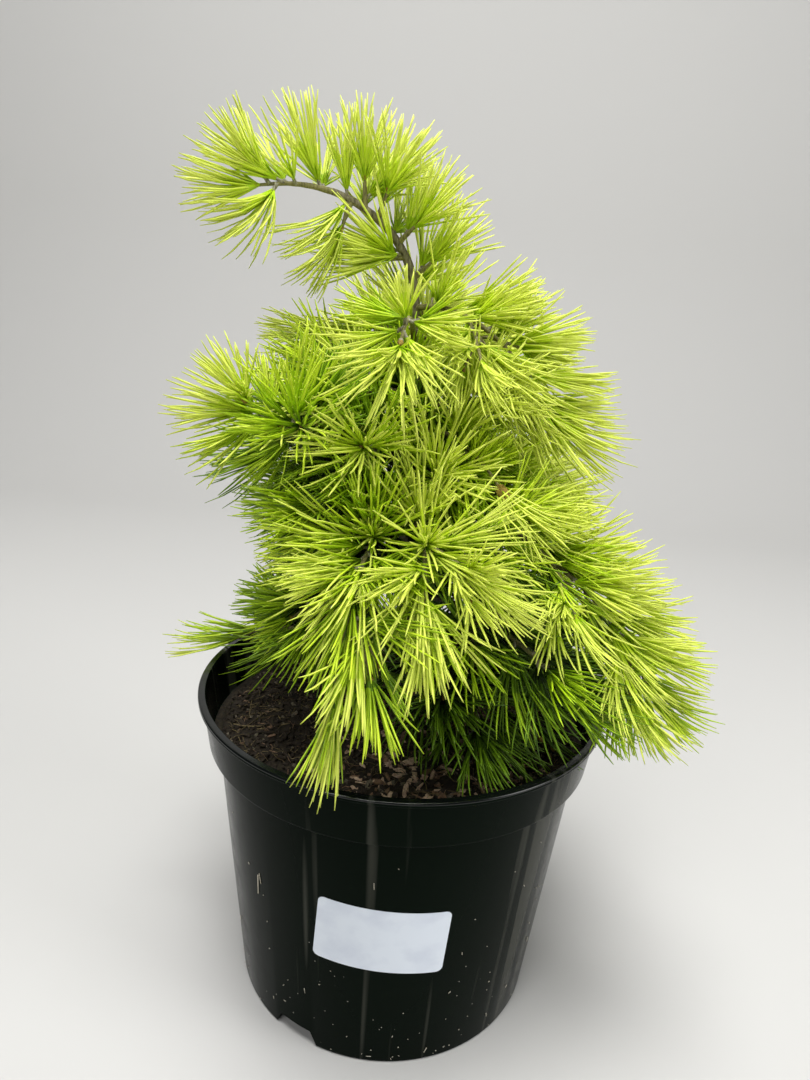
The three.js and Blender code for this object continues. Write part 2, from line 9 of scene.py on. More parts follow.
import logging
import math
from collections.abc import Callable, Sequence
from dataclasses import dataclass, field
from enum import Enum, IntEnum

import bpy
import numpy as np
from mathutils import Matrix, Vector, noise


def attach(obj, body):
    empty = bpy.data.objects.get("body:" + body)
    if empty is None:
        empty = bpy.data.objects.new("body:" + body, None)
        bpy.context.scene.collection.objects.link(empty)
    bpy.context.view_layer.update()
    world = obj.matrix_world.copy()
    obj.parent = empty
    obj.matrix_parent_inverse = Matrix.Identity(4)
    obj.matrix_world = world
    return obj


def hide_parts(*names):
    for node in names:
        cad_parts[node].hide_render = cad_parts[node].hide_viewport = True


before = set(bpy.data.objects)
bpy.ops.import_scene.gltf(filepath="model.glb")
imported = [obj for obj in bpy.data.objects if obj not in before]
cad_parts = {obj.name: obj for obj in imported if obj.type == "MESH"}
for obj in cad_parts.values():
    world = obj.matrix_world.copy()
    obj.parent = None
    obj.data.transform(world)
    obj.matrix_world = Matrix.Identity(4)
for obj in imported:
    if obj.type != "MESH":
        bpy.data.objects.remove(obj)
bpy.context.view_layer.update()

log = logging.getLogger("cedar")

MM = 0.001
GOLDEN_ANGLE = math.pi * (3 - math.sqrt(5))

# How far a limb's tip is domed, as a share of its radius
TIP_DOME = 0.6

# How many steps round off one corner of a turned profile, and how many times its
# rounding must fit into the edge beside it
FILLET_STEPS = 4
FILLET_ROOM = 2.2

# Faces, as arrays with three or four corner numbers to a row
Faces = Sequence[np.ndarray]

# What can feed a node's input: an output socket, or a node for its first one
Source = bpy.types.NodeSocket | bpy.types.Node


def linear(colour: str) -> tuple[float, float, float, float]:
    """Turn an sRGB colour into linear light.

    Args:
        colour: The colour, as a hash and six hex digits.

    Returns:
        Its linear red, green, blue and alpha.
    """
    shares = [int(colour[i : i + 2], 16) / 255 for i in (1, 3, 5)]
    red, green, blue = (s / 12.92 if s <= 0.04045 else ((s + 0.055) / 1.055) ** 2.4 for s in shares)
    return red, green, blue, 1.0


def every(size: float) -> float:
    """Return the scale of a pattern whose features are this many millimetres apart."""
    return 1 / (size * MM)


def feed(node: bpy.types.Node, settings: dict, links: dict[str | int, Source]) -> None:
    """Give a node its settings and what feeds it.

    Args:
        node: The node.
        settings: Values by property or socket, a ramp's stops as pairs, and a
            range's ends: from, from, to, to.
        links: What feeds each input, by its name or number.
    """
    for key, value in settings.items():
        if key == "stops":
            while len(node.color_ramp.elements) < len(value):
                node.color_ramp.elements.new(0.5)
            for stop, (place, colour) in zip(node.color_ramp.elements, value):
                stop.position = place
                stop.color = linear(colour)
        elif key == "ends":
            for number, end in enumerate(value):
                node.inputs[number + 1].default_value = end
        elif isinstance(key, str) and hasattr(node, key):
            setattr(node, key, value)
        else:
            node.inputs[key].default_value = value
    for key, source in links.items():
        output = source.outputs[0] if isinstance(source, bpy.types.Node) else source
        node.id_data.links.new(output, node.inputs[key])


def add(
    tree: bpy.types.NodeTree,
    kind: str,
    settings: dict | None = None,
    links: dict[str | int, Source] | None = None,
) -> bpy.types.Node:
    """Add one node with its settings and links.

    Args:
        tree: The material's nodes.
        kind: The node's type without its ShaderNode prefix.
        settings: As feed takes them.
        links: As feed takes them.

    Returns:
        The node.
    """
    made = tree.nodes.new(f"ShaderNode{kind}")
    feed(made, settings or {}, links or {})
    return made


def lerp(start: float, stop: float, share: float) -> float:
    """Return the value at a share of the way between two."""
    return start + (stop - start) * share


def heading(bearing: float, slope: float) -> Vector:
    """Find the direction with a bearing and a slope.

    Args:
        bearing: Degrees from +X towards +Y.
        slope: Degrees above the level.

    Returns:
        The direction.
    """
    turn, tilt = math.radians(bearing), math.radians(slope)
    level = math.cos(tilt)
    return Vector((level * math.cos(turn), level * math.sin(turn), math.sin(tilt)))


@dataclass(frozen=True)
class Finish:
    """What every finish has: the name of its material."""

    name: str

    def material(self) -> bpy.types.Material:
        """Return the finish's material, made on its first use."""
        known = bpy.data.materials.get(self.name)
        if known:
            return known
        material = bpy.data.materials.new(self.name)
        material.use_nodes = True
        tree = material.node_tree
        self.dress(tree, tree.nodes["Principled BSDF"])
        return material

    def dress(self, tree: bpy.types.NodeTree, shader: bpy.types.Node) -> None:
        """Give the shader its colours, gloss and relief.

        Args:
            tree: The material's nodes.
            shader: Its principled shader.
        """
        raise NotImplementedError


@dataclass(frozen=True)
class MouldedPolypropylene(Finish):
    """Injection-moulded black polypropylene: a dark gloss with a faint green in it,
    fine scuffs, dried splashes of compost water, thickest near the foot, and pale
    painted reflection streaks down the wall."""

    body: str = "#050f07"
    splash: str = "#b5b2a6"
    # The colour of the painted reflection streaks down the wall
    run: str = "#464740"
    ior: float = 1.49
    gloss: float = 0.02
    dried: float = 0.8
    scuff_mm: float = 9.0
    scuff_depth_mm: float = 0.3
    speck_mm: float = 3.4
    speck_share: float = 0.4
    patch_mm: float = 38.46
    # The size and stretch of the painted reflection streaks
    streak_mm: float = 7.0
    streak_stretch: float = 0.035
    wall_mm: float = 95.0

    def dress(self, tree: bpy.types.NodeTree, shader: bpy.types.Node) -> None:
        """Give the shader the plastic's gloss, its specks and its painted reflection streaks."""
        place = add(tree, "TexCoord").outputs["Object"]
        axes = add(tree, "SeparateXYZ", {}, {"Vector": place})
        scuffs = add(tree, "TexNoise", {"Scale": every(self.scuff_mm), "Detail": 6.0}, {"Vector": place})
        gloss = add(tree, "MapRange", {"ends": (0.35, 0.75, 0.12, 0.24)}, {"Value": scuffs})
        specks, runs = self.specks(tree, place, axes), self.runs(tree, axes)
        bare = {"data_type": "RGBA", 6: linear(self.body), 7: linear(self.run)}
        # Mix the painted reflection streaks into the body colour
        streaked = add(tree, "Mix", bare, {0: runs}).outputs[2]
        specked = {"data_type": "RGBA", 7: linear(self.splash)}
        colour = add(tree, "Mix", specked, {0: specks, 6: streaked}).outputs[2]
        rough = add(tree, "Mix", {3: self.dried}, {0: specks, 2: gloss})
        depth = {"Strength": 0.12, "Distance": self.scuff_depth_mm * MM}
        relief = add(tree, "Bump", depth, {"Height": scuffs})
        feed(
            shader,
            {"IOR": self.ior, "Specular IOR Level": self.gloss},
            {"Base Color": colour, "Roughness": rough, "Normal": relief},
        )

    def specks(
        self, tree: bpy.types.NodeTree, place: bpy.types.NodeSocket, axes: bpy.types.Node
    ) -> bpy.types.Node:
        """Scatter dried specks in patches, thickest near the foot.

        Args:
            tree: The material's nodes.
            place: The place on the pot.
            axes: The same, with its axes apart.

        Returns:
            A node that gives 1 on a speck and 0 elsewhere.
        """
        cells = add(tree, "TexVoronoi", {"Scale": every(self.speck_mm)}, {"Vector": place})
        speck = add(tree, "MapRange", {"ends": (0.1, 0.06, 0.0, 1.0)}, {"Value": cells})
        patch = add(tree, "TexNoise", {"Scale": every(self.patch_mm), "Detail": 3.0}, {"Vector": place})
        low = add(tree, "MapRange", {"ends": (0.125, 0.01, 0.3, 0.62)}, {"Value": axes.outputs["Z"]})
        here = add(tree, "Math", {"operation": "LESS_THAN"}, {0: patch, 1: low})
        few = {"operation": "LESS_THAN", 1: self.speck_share}
        chosen = add(tree, "Math", few, {0: cells.outputs["Color"]})
        both = add(tree, "Math", {"operation": "MULTIPLY"}, {0: here, 1: chosen})
        return add(tree, "Math", {"operation": "MULTIPLY"}, {0: both, 1: speck})

    def runs(self, tree: bpy.types.NodeTree, axes: bpy.types.Node) -> bpy.types.Node:
        """Draw painted reflection streaks down the wall, fewer of them on the front and front left.

        Args:
            tree: The material's nodes.
            axes: The place on the pot, with its axes apart.

        Returns:
            A node that gives each streak's share of the painted reflection colour.
        """
        turn = add(tree, "Math", {"operation": "ARCTAN2"}, {0: axes.outputs["Y"], 1: axes.outputs["X"]})
        arc = add(tree, "Math", {"operation": "MULTIPLY", 1: self.wall_mm * MM}, {0: turn})
        drawn = {"operation": "MULTIPLY", 1: self.streak_stretch}
        fall = add(tree, "Math", drawn, {0: axes.outputs["Z"]})
        unrolled = add(tree, "CombineXYZ", {}, {"X": arc, "Z": fall})
        reflection_streaks = add(tree, "TexNoise", {"Scale": every(self.streak_mm), "Detail": 1.0}, {"Vector": unrolled})
        # Painted reflection streaks are fewer on the front and front left
        streak_side = add(tree, "MapRange", {"ends": (-0.95, -0.75, 0.0, 0.15)}, {"Value": turn})
        streak_field = add(tree, "Math", {"operation": "ADD"}, {0: reflection_streaks, 1: streak_side})
        return add(tree, "MapRange", {"ends": (0.64, 0.74, 0.0, 0.7)}, {"Value": streak_field})


@dataclass(frozen=True)
class SelfAdhesivePaper(Finish):
    """Coated label paper, slightly blue-white, with a satin face and faint fibre."""

    face: str = "#ecf4ff"
    soiled: str = "#dfe7f5"
    satin: float = 0.42
    fibre_mm: float = 0.8
    patch_mm: float = 16.67
    depth_mm: float = 0.1

    def dress(self, tree: bpy.types.NodeTree, shader: bpy.types.Node) -> None:
        """Give the shader the paper's fibre and a few soiled patches."""
        place = add(tree, "TexCoord").outputs["Object"]
        fibre = add(tree, "TexNoise", {"Scale": every(self.fibre_mm), "Detail": 4.0}, {"Vector": place})
        patch = add(tree, "TexNoise", {"Scale": every(self.patch_mm), "Detail": 4.0}, {"Vector": place})
        stops = [(0.3, self.soiled), (0.52, self.face)]
        colour = add(tree, "ValToRGB", {"stops": stops}, {"Fac": patch})
        depth = {"Strength": 0.15, "Distance": self.depth_mm * MM}
        relief = add(tree, "Bump", depth, {"Height": fibre})
        feed(shader, {"Roughness": self.satin}, {"Base Color": colour, "Normal": relief})


@dataclass(frozen=True)
class CompostedBark(Finish):
    """Composted pine bark: dull, with pale fibres in a darker flesh."""

    dark: str = "#24180f"
    light: str = "#6b4b36"
    fibre_mm: float = 1.6
    damp: float = 0.78
    depth_mm: float = 0.5

    def dress(self, tree: bpy.types.NodeTree, shader: bpy.types.Node) -> None:
        """Give the shader the bark's fibre and its damp."""
        place = add(tree, "TexCoord").outputs["Object"]
        grain = {"Scale": every(self.fibre_mm), "Detail": 5.0, "Roughness": 0.65}
        fibre = add(tree, "TexNoise", grain, {"Vector": place})
        stops = [(0.34, self.dark), (0.66, self.light)]
        colour = add(tree, "ValToRGB", {"stops": stops}, {"Fac": fibre})
        relief = add(tree, "Bump", {"Strength": 0.5, "Distance": self.depth_mm * MM}, {"Height": fibre})
        feed(shader, {"Roughness": self.damp}, {"Base Color": colour, "Normal": relief})


@dataclass(frozen=True)
class CedarBark(Finish):
    """Young cedar bark: grey-brown skin with darker cracks along the limb."""

    crack: str = "#332e21"
    skin: str = "#736c50"
    bloom: str = "#9c967c"
    crack_mm: float = 1.1
    crack_stretch: float = 0.22
    depth_mm: float = 0.4
    dull: float = 0.82

    def dress(self, tree: bpy.types.NodeTree, shader: bpy.types.Node) -> None:
        """Give the shader the bark's cracks, skin and grey bloom."""
        place = add(tree, "TexCoord").outputs["Object"]
        drawn = add(tree, "Mapping", {"Scale": (1.0, 1.0, self.crack_stretch)}, {"Vector": place})
        grain = {"Scale": every(self.crack_mm), "Detail": 6.0, "Roughness": 0.6}
        cracks = add(tree, "TexNoise", grain, {"Vector": drawn})
        stops = [(0.32, self.crack), (0.5, self.skin), (0.78, self.bloom)]
        colour = add(tree, "ValToRGB", {"stops": stops}, {"Fac": cracks})
        relief = add(tree, "Bump", {"Strength": 0.6, "Distance": self.depth_mm * MM}, {"Height": cracks})
        feed(shader, {"Roughness": self.dull}, {"Base Color": colour, "Normal": relief})


@dataclass(frozen=True)
class CedarNeedle(Finish):
    """A cedar needle's waxy skin: one plain colour to a tuft, with a soft gloss
    that a fine relief breaks up. Real breathing lines are too fine to show, so the
    relief is drawn several times coarser."""

    flesh: str = "#c8da3c"
    ior: float = 1.45
    line_mm: float = 0.5
    depth_mm: float = 0.1

    def dress(self, tree: bpy.types.NodeTree, shader: bpy.types.Node) -> None:
        """Give the shader the needle's colour, gloss and fine relief."""
        place = add(tree, "TexCoord").outputs["Object"]
        lines = add(tree, "TexNoise", {"Scale": every(self.line_mm), "Detail": 2.0}, {"Vector": place})
        gloss = add(tree, "MapRange", {"ends": (0.3, 0.7, 0.38, 0.56)}, {"Value": lines})
        relief = add(tree, "Bump", {"Strength": 0.1, "Distance": self.depth_mm * MM}, {"Height": lines})
        feed(
            shader,
            {"Base Color": linear(self.flesh), "IOR": self.ior},
            {"Roughness": gloss, "Normal": relief},
        )


@dataclass(frozen=True)
class StudioPaper(Finish):
    """Matt background paper, a pale warm grey."""

    face: str = "#cfcecb"
    matt: float = 0.9

    def dress(self, tree: bpy.types.NodeTree, shader: bpy.types.Node) -> None:
        """Give the shader the paper's flat pale face."""
        feed(shader, {"Base Color": linear(self.face), "Roughness": self.matt}, {})


class Stock:
    """Corners, in millimetres, and faces that are gathered for one piece."""

    def __init__(self) -> None:
        """Start with nothing gathered."""
        self.corners: list[np.ndarray] = []
        self.faces: list[tuple[np.ndarray, int]] = []
        self.count = 0

    def add(self, corners: np.ndarray, faces: Faces, finish: int | Sequence[int] = 0) -> None:
        """Gather one more shape.

        Args:
            corners: Its corners.
            faces: Its faces, by its own corner numbers.
            finish: The number of the finish on them, or one for each array of them.
        """
        numbers = [finish] * len(faces) if isinstance(finish, int) else finish
        self.corners.append(np.asarray(corners, float))
        self.faces += [(group + self.count, number) for group, number in zip(faces, numbers)]
        self.count += len(corners)

    def cast(self, name: str, finishes: Sequence[Finish], crease: float | None = None) -> bpy.types.Object:
        """Make the piece.

        Args:
            name: The piece's name.
            finishes: Its finishes, in the order of their numbers.
            crease: The angle in degrees from which an edge stays sharp.

        Returns:
            The piece, which rides on the plant's one body.
        """
        mesh = bpy.data.meshes.new(name)
        loops = np.concatenate([group.ravel() for group, _ in self.faces])
        sizes = np.concatenate([np.full(len(group), group.shape[1]) for group, _ in self.faces])
        mesh.vertices.add(self.count)
        mesh.vertices.foreach_set("co", (np.concatenate(self.corners) * MM).ravel())
        mesh.loops.add(len(loops))
        mesh.loops.foreach_set("vertex_index", loops)
        mesh.polygons.add(len(sizes))
        mesh.polygons.foreach_set("loop_start", np.concatenate([[0], np.cumsum(sizes)[:-1]]))
        finish = np.concatenate([np.full(len(group), number) for group, number in self.faces])
        mesh.polygons.foreach_set("material_index", finish)
        mesh.update(calc_edges=True)
        mesh.shade_smooth()
        if crease is not None:
            mesh.set_sharp_from_angle(angle=math.radians(crease))
        for one in finishes:
            mesh.materials.append(one.material())
        made = bpy.data.objects.new(name, mesh)
        bpy.context.scene.collection.objects.link(made)
        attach(made, "root")
        log.info("%s: %d faces", name, len(mesh.polygons))
        return made


class Draws:
    """A repeatable run of numbers from 0 to 1, as the solids' source draws them."""

    factor = 48271
    limit = 2**31 - 1

    def __init__(self, seed: int, step: int = 0, number: int = 0) -> None:
        """Start a run.

        Args:
            seed: A whole number above 0, for the first run of its kind.
            step: How far apart the seeds of its kind are.
            number: Which run of its kind it is.
        """
        self.state = seed + step * number

    def __call__(self) -> float:
        """Return the next number."""
        self.state = self.state * self.factor % self.limit
        return self.state / self.limit

    def near(self, middle: float, spread: float) -> float:
        """Return a number that lies at most half the spread from the middle."""
        return middle + spread * (self() - 0.5)


class Line:
    """A run of points, measured along from the first."""

    def __init__(self, points: Sequence[Vector]) -> None:
        """Keep the points and how far along each one lies."""
        self.points = list(points)
        self.runs = [0.0]
        for one, other in zip(self.points, self.points[1:]):
            self.runs.append(self.runs[-1] + (other - one).length)

    @property
    def length(self) -> float:
        """Return the whole length."""
        return self.runs[-1]

    def spot(self, distance: float) -> tuple[Vector, Vector]:
        """Find a point on the line.

        Args:
            distance: How far along it is.

        Returns:
            The point, and the direction there.
        """
        left = max(0.0, distance)
        last = len(self.points) - 1
        i = next((k for k in range(1, last) if left <= self.runs[k]), last)
        ahead = (self.points[i] - self.points[i - 1]).normalized()
        return self.points[i - 1] + ahead * (min(left, self.runs[i]) - self.runs[i - 1]), ahead

    def stretch(self, start: float, stop: float) -> "Line":
        """Return the part from one distance along to another."""
        inner = [p for p, run in zip(self.points, self.runs) if start + 1 < run < stop - 1]
        return Line([self.spot(start)[0], *inner, self.spot(stop)[0]])

    def smoothed(self, times: int = 3) -> "Line":
        """Cut the line's corners.

        Args:
            times: How many times over.

        Returns:
            The smoother line.
        """
        points = self.points
        for _ in range(times):
            cut = [points[0]]
            for one, other in zip(points, points[1:]):
                cut += [one.lerp(other, 0.25), one.lerp(other, 0.75)]
            points = [*cut, points[-1]]
        return Line(points)


@dataclass(frozen=True)
class Shoot:
    """One bough, spur or leader, in the terms of the growth rule.

    Each has the place where it leaves the trunk, its bearing and how far that
    sweeps round, its slope at the foot and at the tip, how late it bends, its
    length, the bare part of that, and its side shoots.
    """

    name: str
    along: float
    bearing: float
    rise: float
    fall: float
    length: float
    sweep: float = 0.0
    late: float = 1.0
    bare: float = 0.0
    sides: int = 0

    def course(self, share: float) -> tuple[float, float]:
        """Return the bearing and slope at a share of the length."""
        bend = self.rise + (self.fall - self.rise) * share**self.late
        return self.bearing + self.sweep * share, bend

    def grown(self, foot: Vector, step: float = 11.0) -> Line:
        """Return the line that the shoot grows along.

        Args:
            foot: Where it starts.
            step: About how long each step is.

        Returns:
            Equal steps from the foot.
        """
        steps = max(2, math.floor(self.length / step + 0.5))
        points = [foot]
        for i in range(steps):
            points.append(points[-1] + heading(*self.course((i + 0.5) / steps)) * (self.length / steps))
        return Line(points)


STEM = Shoot("stem", 0, 180, 89.5, 86.5, 212)
LEADER = Shoot("leader", 212, 205, 102, -14, 100, sweep=-8, late=0.68)

# The boughs, which are bare where they leave the trunk
BOUGHS = [
    Shoot("left", 150, 203, -6, 34, 97, sweep=36, bare=20, sides=2),
    Shoot("back_mid", 136, 82, 22, -25, 92, bare=22, sides=1),
    Shoot("right_back", 129, 12, 20, -18, 72, bare=22, sides=2),
    Shoot("left_back", 109, 170, 20, -8, 56, bare=24, sides=1),
    Shoot("big_right", 115, -46, 30, -64, 156, sweep=46, late=0.72, bare=30, sides=6),
    Shoot("hanging_front_right", 103, -86, 26, -80, 118, late=2.6, bare=30, sides=2),
    Shoot("hanging_front_left", 92, -103, 46, -90, 150, late=1.35, bare=34, sides=2),
    Shoot("right_back_low", 85, 44, 26, -35, 108, bare=26, sides=1),
    Shoot("left_back_low", 79, 122, 26, -30, 78, bare=26, sides=2),
    Shoot("back_low", 61, 86, 28, -36, 102, bare=28, sides=2),
    Shoot("low_right_front", 69, -64, 30, -42, 110, sweep=40, bare=34, sides=2),
    Shoot("low_right_back", 52, 14, 20, -24, 96, bare=30, sides=2),
    Shoot("low_right", 43, -50, 16, -46, 90, sweep=30, bare=30, sides=2),
    Shoot("low_left", 28, 164, 21, -34, 100, late=1.6, bare=36, sides=1),
]

# The shoots that are leafy right from the trunk
SPURS = [
    Shoot("crest", 264, 250, 82, 82, 12),
    Shoot("under_bow", 271, 215, -70, -70, 12),
    Shoot("nod", 257, -40, 66, 66, 12),
    Shoot("knee_right", 243, -34, 40, 40, 12),
    Shoot("knee_left", 236, 190, -10, -10, 12),
    Shoot("shoulder_right", 226, -22, 42, 42, 12),
    Shoot("upper_right", 213, -42, 22, -66, 82, sweep=42, late=0.7, sides=1),
    Shoot("upper_front", 192, -94, 44, -28, 80),
    Shoot("upper_back", 206, 78, 25, -12, 60),
    Shoot("right_back_high", 178, 35, 22, -14, 76, sides=2),
    Shoot("left_back_high", 185, 125, 22, -12, 66, sides=1),
    Shoot("right_mid", 171, -20, 20, -8, 62, sides=1),
    Shoot("front_right_mid", 157, -56, 14, -36, 72),
    Shoot("front_star", 143, -109, 18, 8, 66),
    Shoot("left_front", 122, 231, 20, -8, 68, sides=1),
    Shoot("upper_left", 202, 157, 10, -20, 44),
    Shoot("mid_right_star", 163, -42, 30, 8, 44),
    Shoot("front_high", 173, -124, 16, -14, 50),
    Shoot("left_mid", 166, 186, 14, -18, 54, sides=1),
    Shoot("centre_front", 131, -80, 24, 4, 54, sides=1),
    Shoot("centre_right", 137, -40, 12, -22, 66, sides=1),
    Shoot("left_low", 87, 205, 14, -30, 56, sides=2),
    Shoot("right_high", 199, -8, 18, -20, 52),
    Shoot("left_high", 181, 214, 14, -14, 46),
    Shoot("low_front", 34, -74, 22, 2, 66),
]


def across(ahead: Vector) -> tuple[Vector, Vector]:
    """Find two directions square to a third and to each other.

    Args:
        ahead: The third direction.

    Returns:
        A level one, or one across +X where the third is plumb, and the other.
    """
    aside = Vector((0, 0, 1)).cross(ahead)
    if aside.length < 0.1:
        aside = Vector((1, 0, 0)).cross(ahead)
    aside.normalize()
    return aside, ahead.cross(aside)


def leaning(ahead: Vector, turn: float, lean: float) -> Vector:
    """Return a direction that leans from another.

    Args:
        ahead: The direction that it leans from.
        turn: Which way it leans, in radians round that.
        lean: How far it leans, in radians.

    Returns:
        The direction.
    """
    aside, up = across(ahead)
    out = aside * math.cos(turn) + up * math.sin(turn)
    return ahead * math.cos(lean) + out * math.sin(lean)


def hang(ahead: Vector) -> float:
    """Return how far a stem hangs: 0 where it is level or rises, 1 where it hangs plumb."""
    return max(0.0, -ahead.z) ** 1.5


def unit(rows: np.ndarray) -> np.ndarray:
    """Return directions with each one's length brought to 1."""
    return rows / np.linalg.norm(rows, axis=1, keepdims=True)


def shell(rings: int, sides: int) -> Faces:
    """Return the faces of a closed form.

    Args:
        rings: How many rings of corners it has, which come first.
        sides: How many corners each ring has. After them come two corners more,
            which close the first ring and the last.

    Returns:
        Its walls, and the caps at its two ends.
    """
    first, k = np.arange(rings - 1)[:, None] * sides, np.arange(sides)
    after = (k + 1) % sides
    walls = np.stack([first + k, first + after, first + sides + after, first + sides + k], -1)
    last, foot = (rings - 1) * sides, rings * sides
    low = np.stack([np.full(sides, foot), after, k], -1)
    high = np.stack([last + k, last + after, np.full(sides, foot + 1)], -1)
    return [walls.reshape(-1, 4), np.concatenate([low, high])]


def tube(
    line: Line, radius: Callable[[float], float], sides: int, relief: Callable[[float, float], float]
) -> tuple[np.ndarray, Faces]:
    """Build a closed limb along a line.

    Args:
        line: The limb's middle.
        radius: Its radius by the distance along.
        sides: How many sides it has.
        relief: The share that the bark stands out by, by distance and angle.

    Returns:
        Its corners and faces.
    """
    aside, _ = across(line.spot(0)[1])
    corners = []
    for run in line.runs:
        point, ahead = line.spot(run)
        aside = (aside - ahead * aside.dot(ahead)).normalized()
        up = ahead.cross(aside)
        for k in range(sides):
            angle = 2 * math.pi * k / sides
            out = radius(run) * (1 + relief(run, angle))
            corners.append(point + (aside * math.cos(angle) + up * math.sin(angle)) * out)
    tip, ahead = line.spot(line.length)
    corners += [line.points[0], tip + ahead * radius(line.length) * TIP_DOME]
    return np.array(corners), shell(len(line.runs), sides)


def smooth(run: float, angle: float) -> float:
    """Return the relief of a limb that has none."""
    return 0.0


@dataclass
class Twig:
    """One leafy stem, and how much younger it is than its bough."""

    line: Line
    shoot: int
    order: int = 0


@dataclass(frozen=True)
class Whorl:
    """One rosette with a place of its own: how far along its limb that is, the
    bearing and slope that it faces, how far its needles lean from that, how many
    they are, their share of the full length, and how much more light they get than
    the limb."""

    along: float
    bearing: float
    slope: float
    spread: float
    needles: int
    share: float = 1.0
    light: float = 0.0


# The rosettes that have places of their own, on the leader and outside on the crown
WHORLS = {
    "trunk": [
        Whorl(307, 196, 50, 25, 26, 0.84),
        Whorl(301, 200, 24, 25, 28, 0.9),
        Whorl(285, 197, 66, 22, 34, 0.96),
        Whorl(273, 188, 84, 20, 24, 0.86),
        Whorl(304, 224, -60, 34, 32, 0.84),
        Whorl(272, 212, -50, 24, 18, 0.94),
        Whorl(238, 206, -14, 26, 16, 0.84),
        Whorl(300, 118, 24, 24, 22),
        Whorl(284, 98, 32, 26, 26),
        Whorl(264, 92, 40, 26, 26),
        Whorl(247, 78, 32, 26, 26),
        Whorl(296, 262, 30, 20, 10, 0.9),
    ],
    "hanging_front_left": [
        Whorl(78, 262, 38, 62, 40),
        Whorl(66, 240, 60, 44, 28),
        Whorl(84, 196, 2, 42, 34, 1.1),
        Whorl(90, 222, -24, 40, 34, 1.1),
        Whorl(96, 266, -34, 50, 38, 1.12),
        Whorl(106, 258, -56, 34, 32, 1.04),
        Whorl(118, 276, -76, 16, 22, 0.92),
        Whorl(148, 262, -86, 8, 22, 0.96, 0.6),
    ],
    "low_left": [
        Whorl(97, 176, -22, 21, 18, 1.12, 0.3),
        Whorl(86, 172, -6, 24, 14, 1.05, 0.1),
    ],
    "hanging_front_right": [
        Whorl(84, 280, 34, 50, 26, 0.86),
        Whorl(62, 250, 58, 40, 26),
        Whorl(97, 246, -52, 34, 26),
        Whorl(106, 304, -60, 30, 24, 0.95),
    ],
    "centre_front": [
        Whorl(50, 300, 40, 52, 30),
    ],
    "upper_right": [
        Whorl(12, -70, 30, 34, 24, 0.9),
        Whorl(25, -18, 22, 21, 30, 0.95),
        Whorl(29, -84, -52, 25, 26, 1.02),
        Whorl(40, 30, 24, 22, 20, 0.9),
        Whorl(50, -8, 16, 19, 32, 0.95),
        Whorl(53, -66, -62, 22, 28, 1.08),
        Whorl(66, -4, -6, 18, 28, 0.95),
        Whorl(69, -50, -76, 17, 26, 1.04),
        Whorl(76, 20, -20, 18, 22, 1.0),
        Whorl(81, -12, -46, 26, 44, 1.14),
    ],
    "upper_front": [
        Whorl(22, 200, 18, 24, 16, 0.72),
        Whorl(34, -10, 14, 26, 16, 0.7),
        Whorl(46, 190, 2, 28, 20, 0.78),
        Whorl(56, -30, -10, 28, 20, 0.78),
        Whorl(64, 262, 64, 34, 20, 0.56),
        Whorl(68, 206, -26, 28, 20, 0.86),
        Whorl(72, -54, -38, 28, 20, 0.88),
        Whorl(79, 262, -42, 50, 38, 0.94),
    ],
    "left": [
        Whorl(88, 205, 44, 24, 30, 0.84, 0.25),
        Whorl(88, 198, 4, 26, 34, 0.92, 0.25),
        Whorl(86, 214, -38, 24, 28, 0.92, 0.2),
        Whorl(95, 250, 48, 40, 22, 0.62, 0.3),
        Whorl(80, 120, 68, 24, 24, 0.72, 0.2),
        Whorl(72, 60, 66, 24, 20, 0.74, 0.1),
        Whorl(66, 194, -56, 26, 22, 0.84, 0.35),
        Whorl(58, 84, 66, 24, 22, 0.76),
        Whorl(48, 208, -58, 26, 24, 0.86, 0.35),
        Whorl(42, 110, 50, 24, 20, 0.8),
        Whorl(34, 222, -60, 28, 24, 0.86, 0.35),
        Whorl(25, 150, 40, 26, 22, 0.8),
    ],
    "right_mid": [
        Whorl(20, -64, -24, 26, 22, 0.84),
        Whorl(34, -18, -14, 26, 24, 0.84),
        Whorl(46, -56, -42, 28, 26, 0.92),
        Whorl(59, -8, -24, 32, 34, 0.92),
    ],
    "upper_left": [
        Whorl(18, 178, -8, 22, 18, 0.84),
        Whorl(30, 140, -14, 26, 22, 0.85),
        Whorl(40, 186, -4, 24, 26, 0.96),
        Whorl(44, 160, -24, 32, 30, 0.9),
    ],
    "left_back_high": [
        Whorl(16, 90, 8, 24, 20, 0.8),
        Whorl(30, 150, 0, 26, 24, 0.84),
        Whorl(42, 100, 0, 26, 24, 0.9),
        Whorl(54, 150, -12, 28, 26, 0.9),
        Whorl(64, 120, -18, 36, 36, 0.9),
    ],
    "front_star": [
        Whorl(44, 205, 34, 40, 24),
    ],
    "low_right_front": [
        Whorl(92, 280, -64, 30, 22),
    ],
    "low_front": [
        Whorl(60, 240, 24, 60, 26, 0.9),
    ],
}


@dataclass(frozen=True)
class Growth:
    """How rosettes grow on a stem: how long their needles are, how far apart they
    stand along it, and how much light they lose."""

    reach: float
    gap: float
    shade: float = 0.0


class Tint(Enum):
    """The needles' colours, from full sun to deep shade: the cultivar's own gold where
    sun reaches it, darkened with painted shade. A needle of one tint is of the next
    tint below its middle, and of the one after that at its root. The side that it
    turns to the sky is a tint lighter: a painted highlight."""

    PALE_GOLD = "#e6f266"
    GOLD = "#d0e836"
    BRIGHT_LIME = "#b8da20"
    LIME = "#97ba1a"
    GREEN = "#6d9214"
    DEEP_GREEN = "#4b6b0f"
    SHADE_GREEN = "#34500c"
    ROOT_GREEN = "#263b0a"


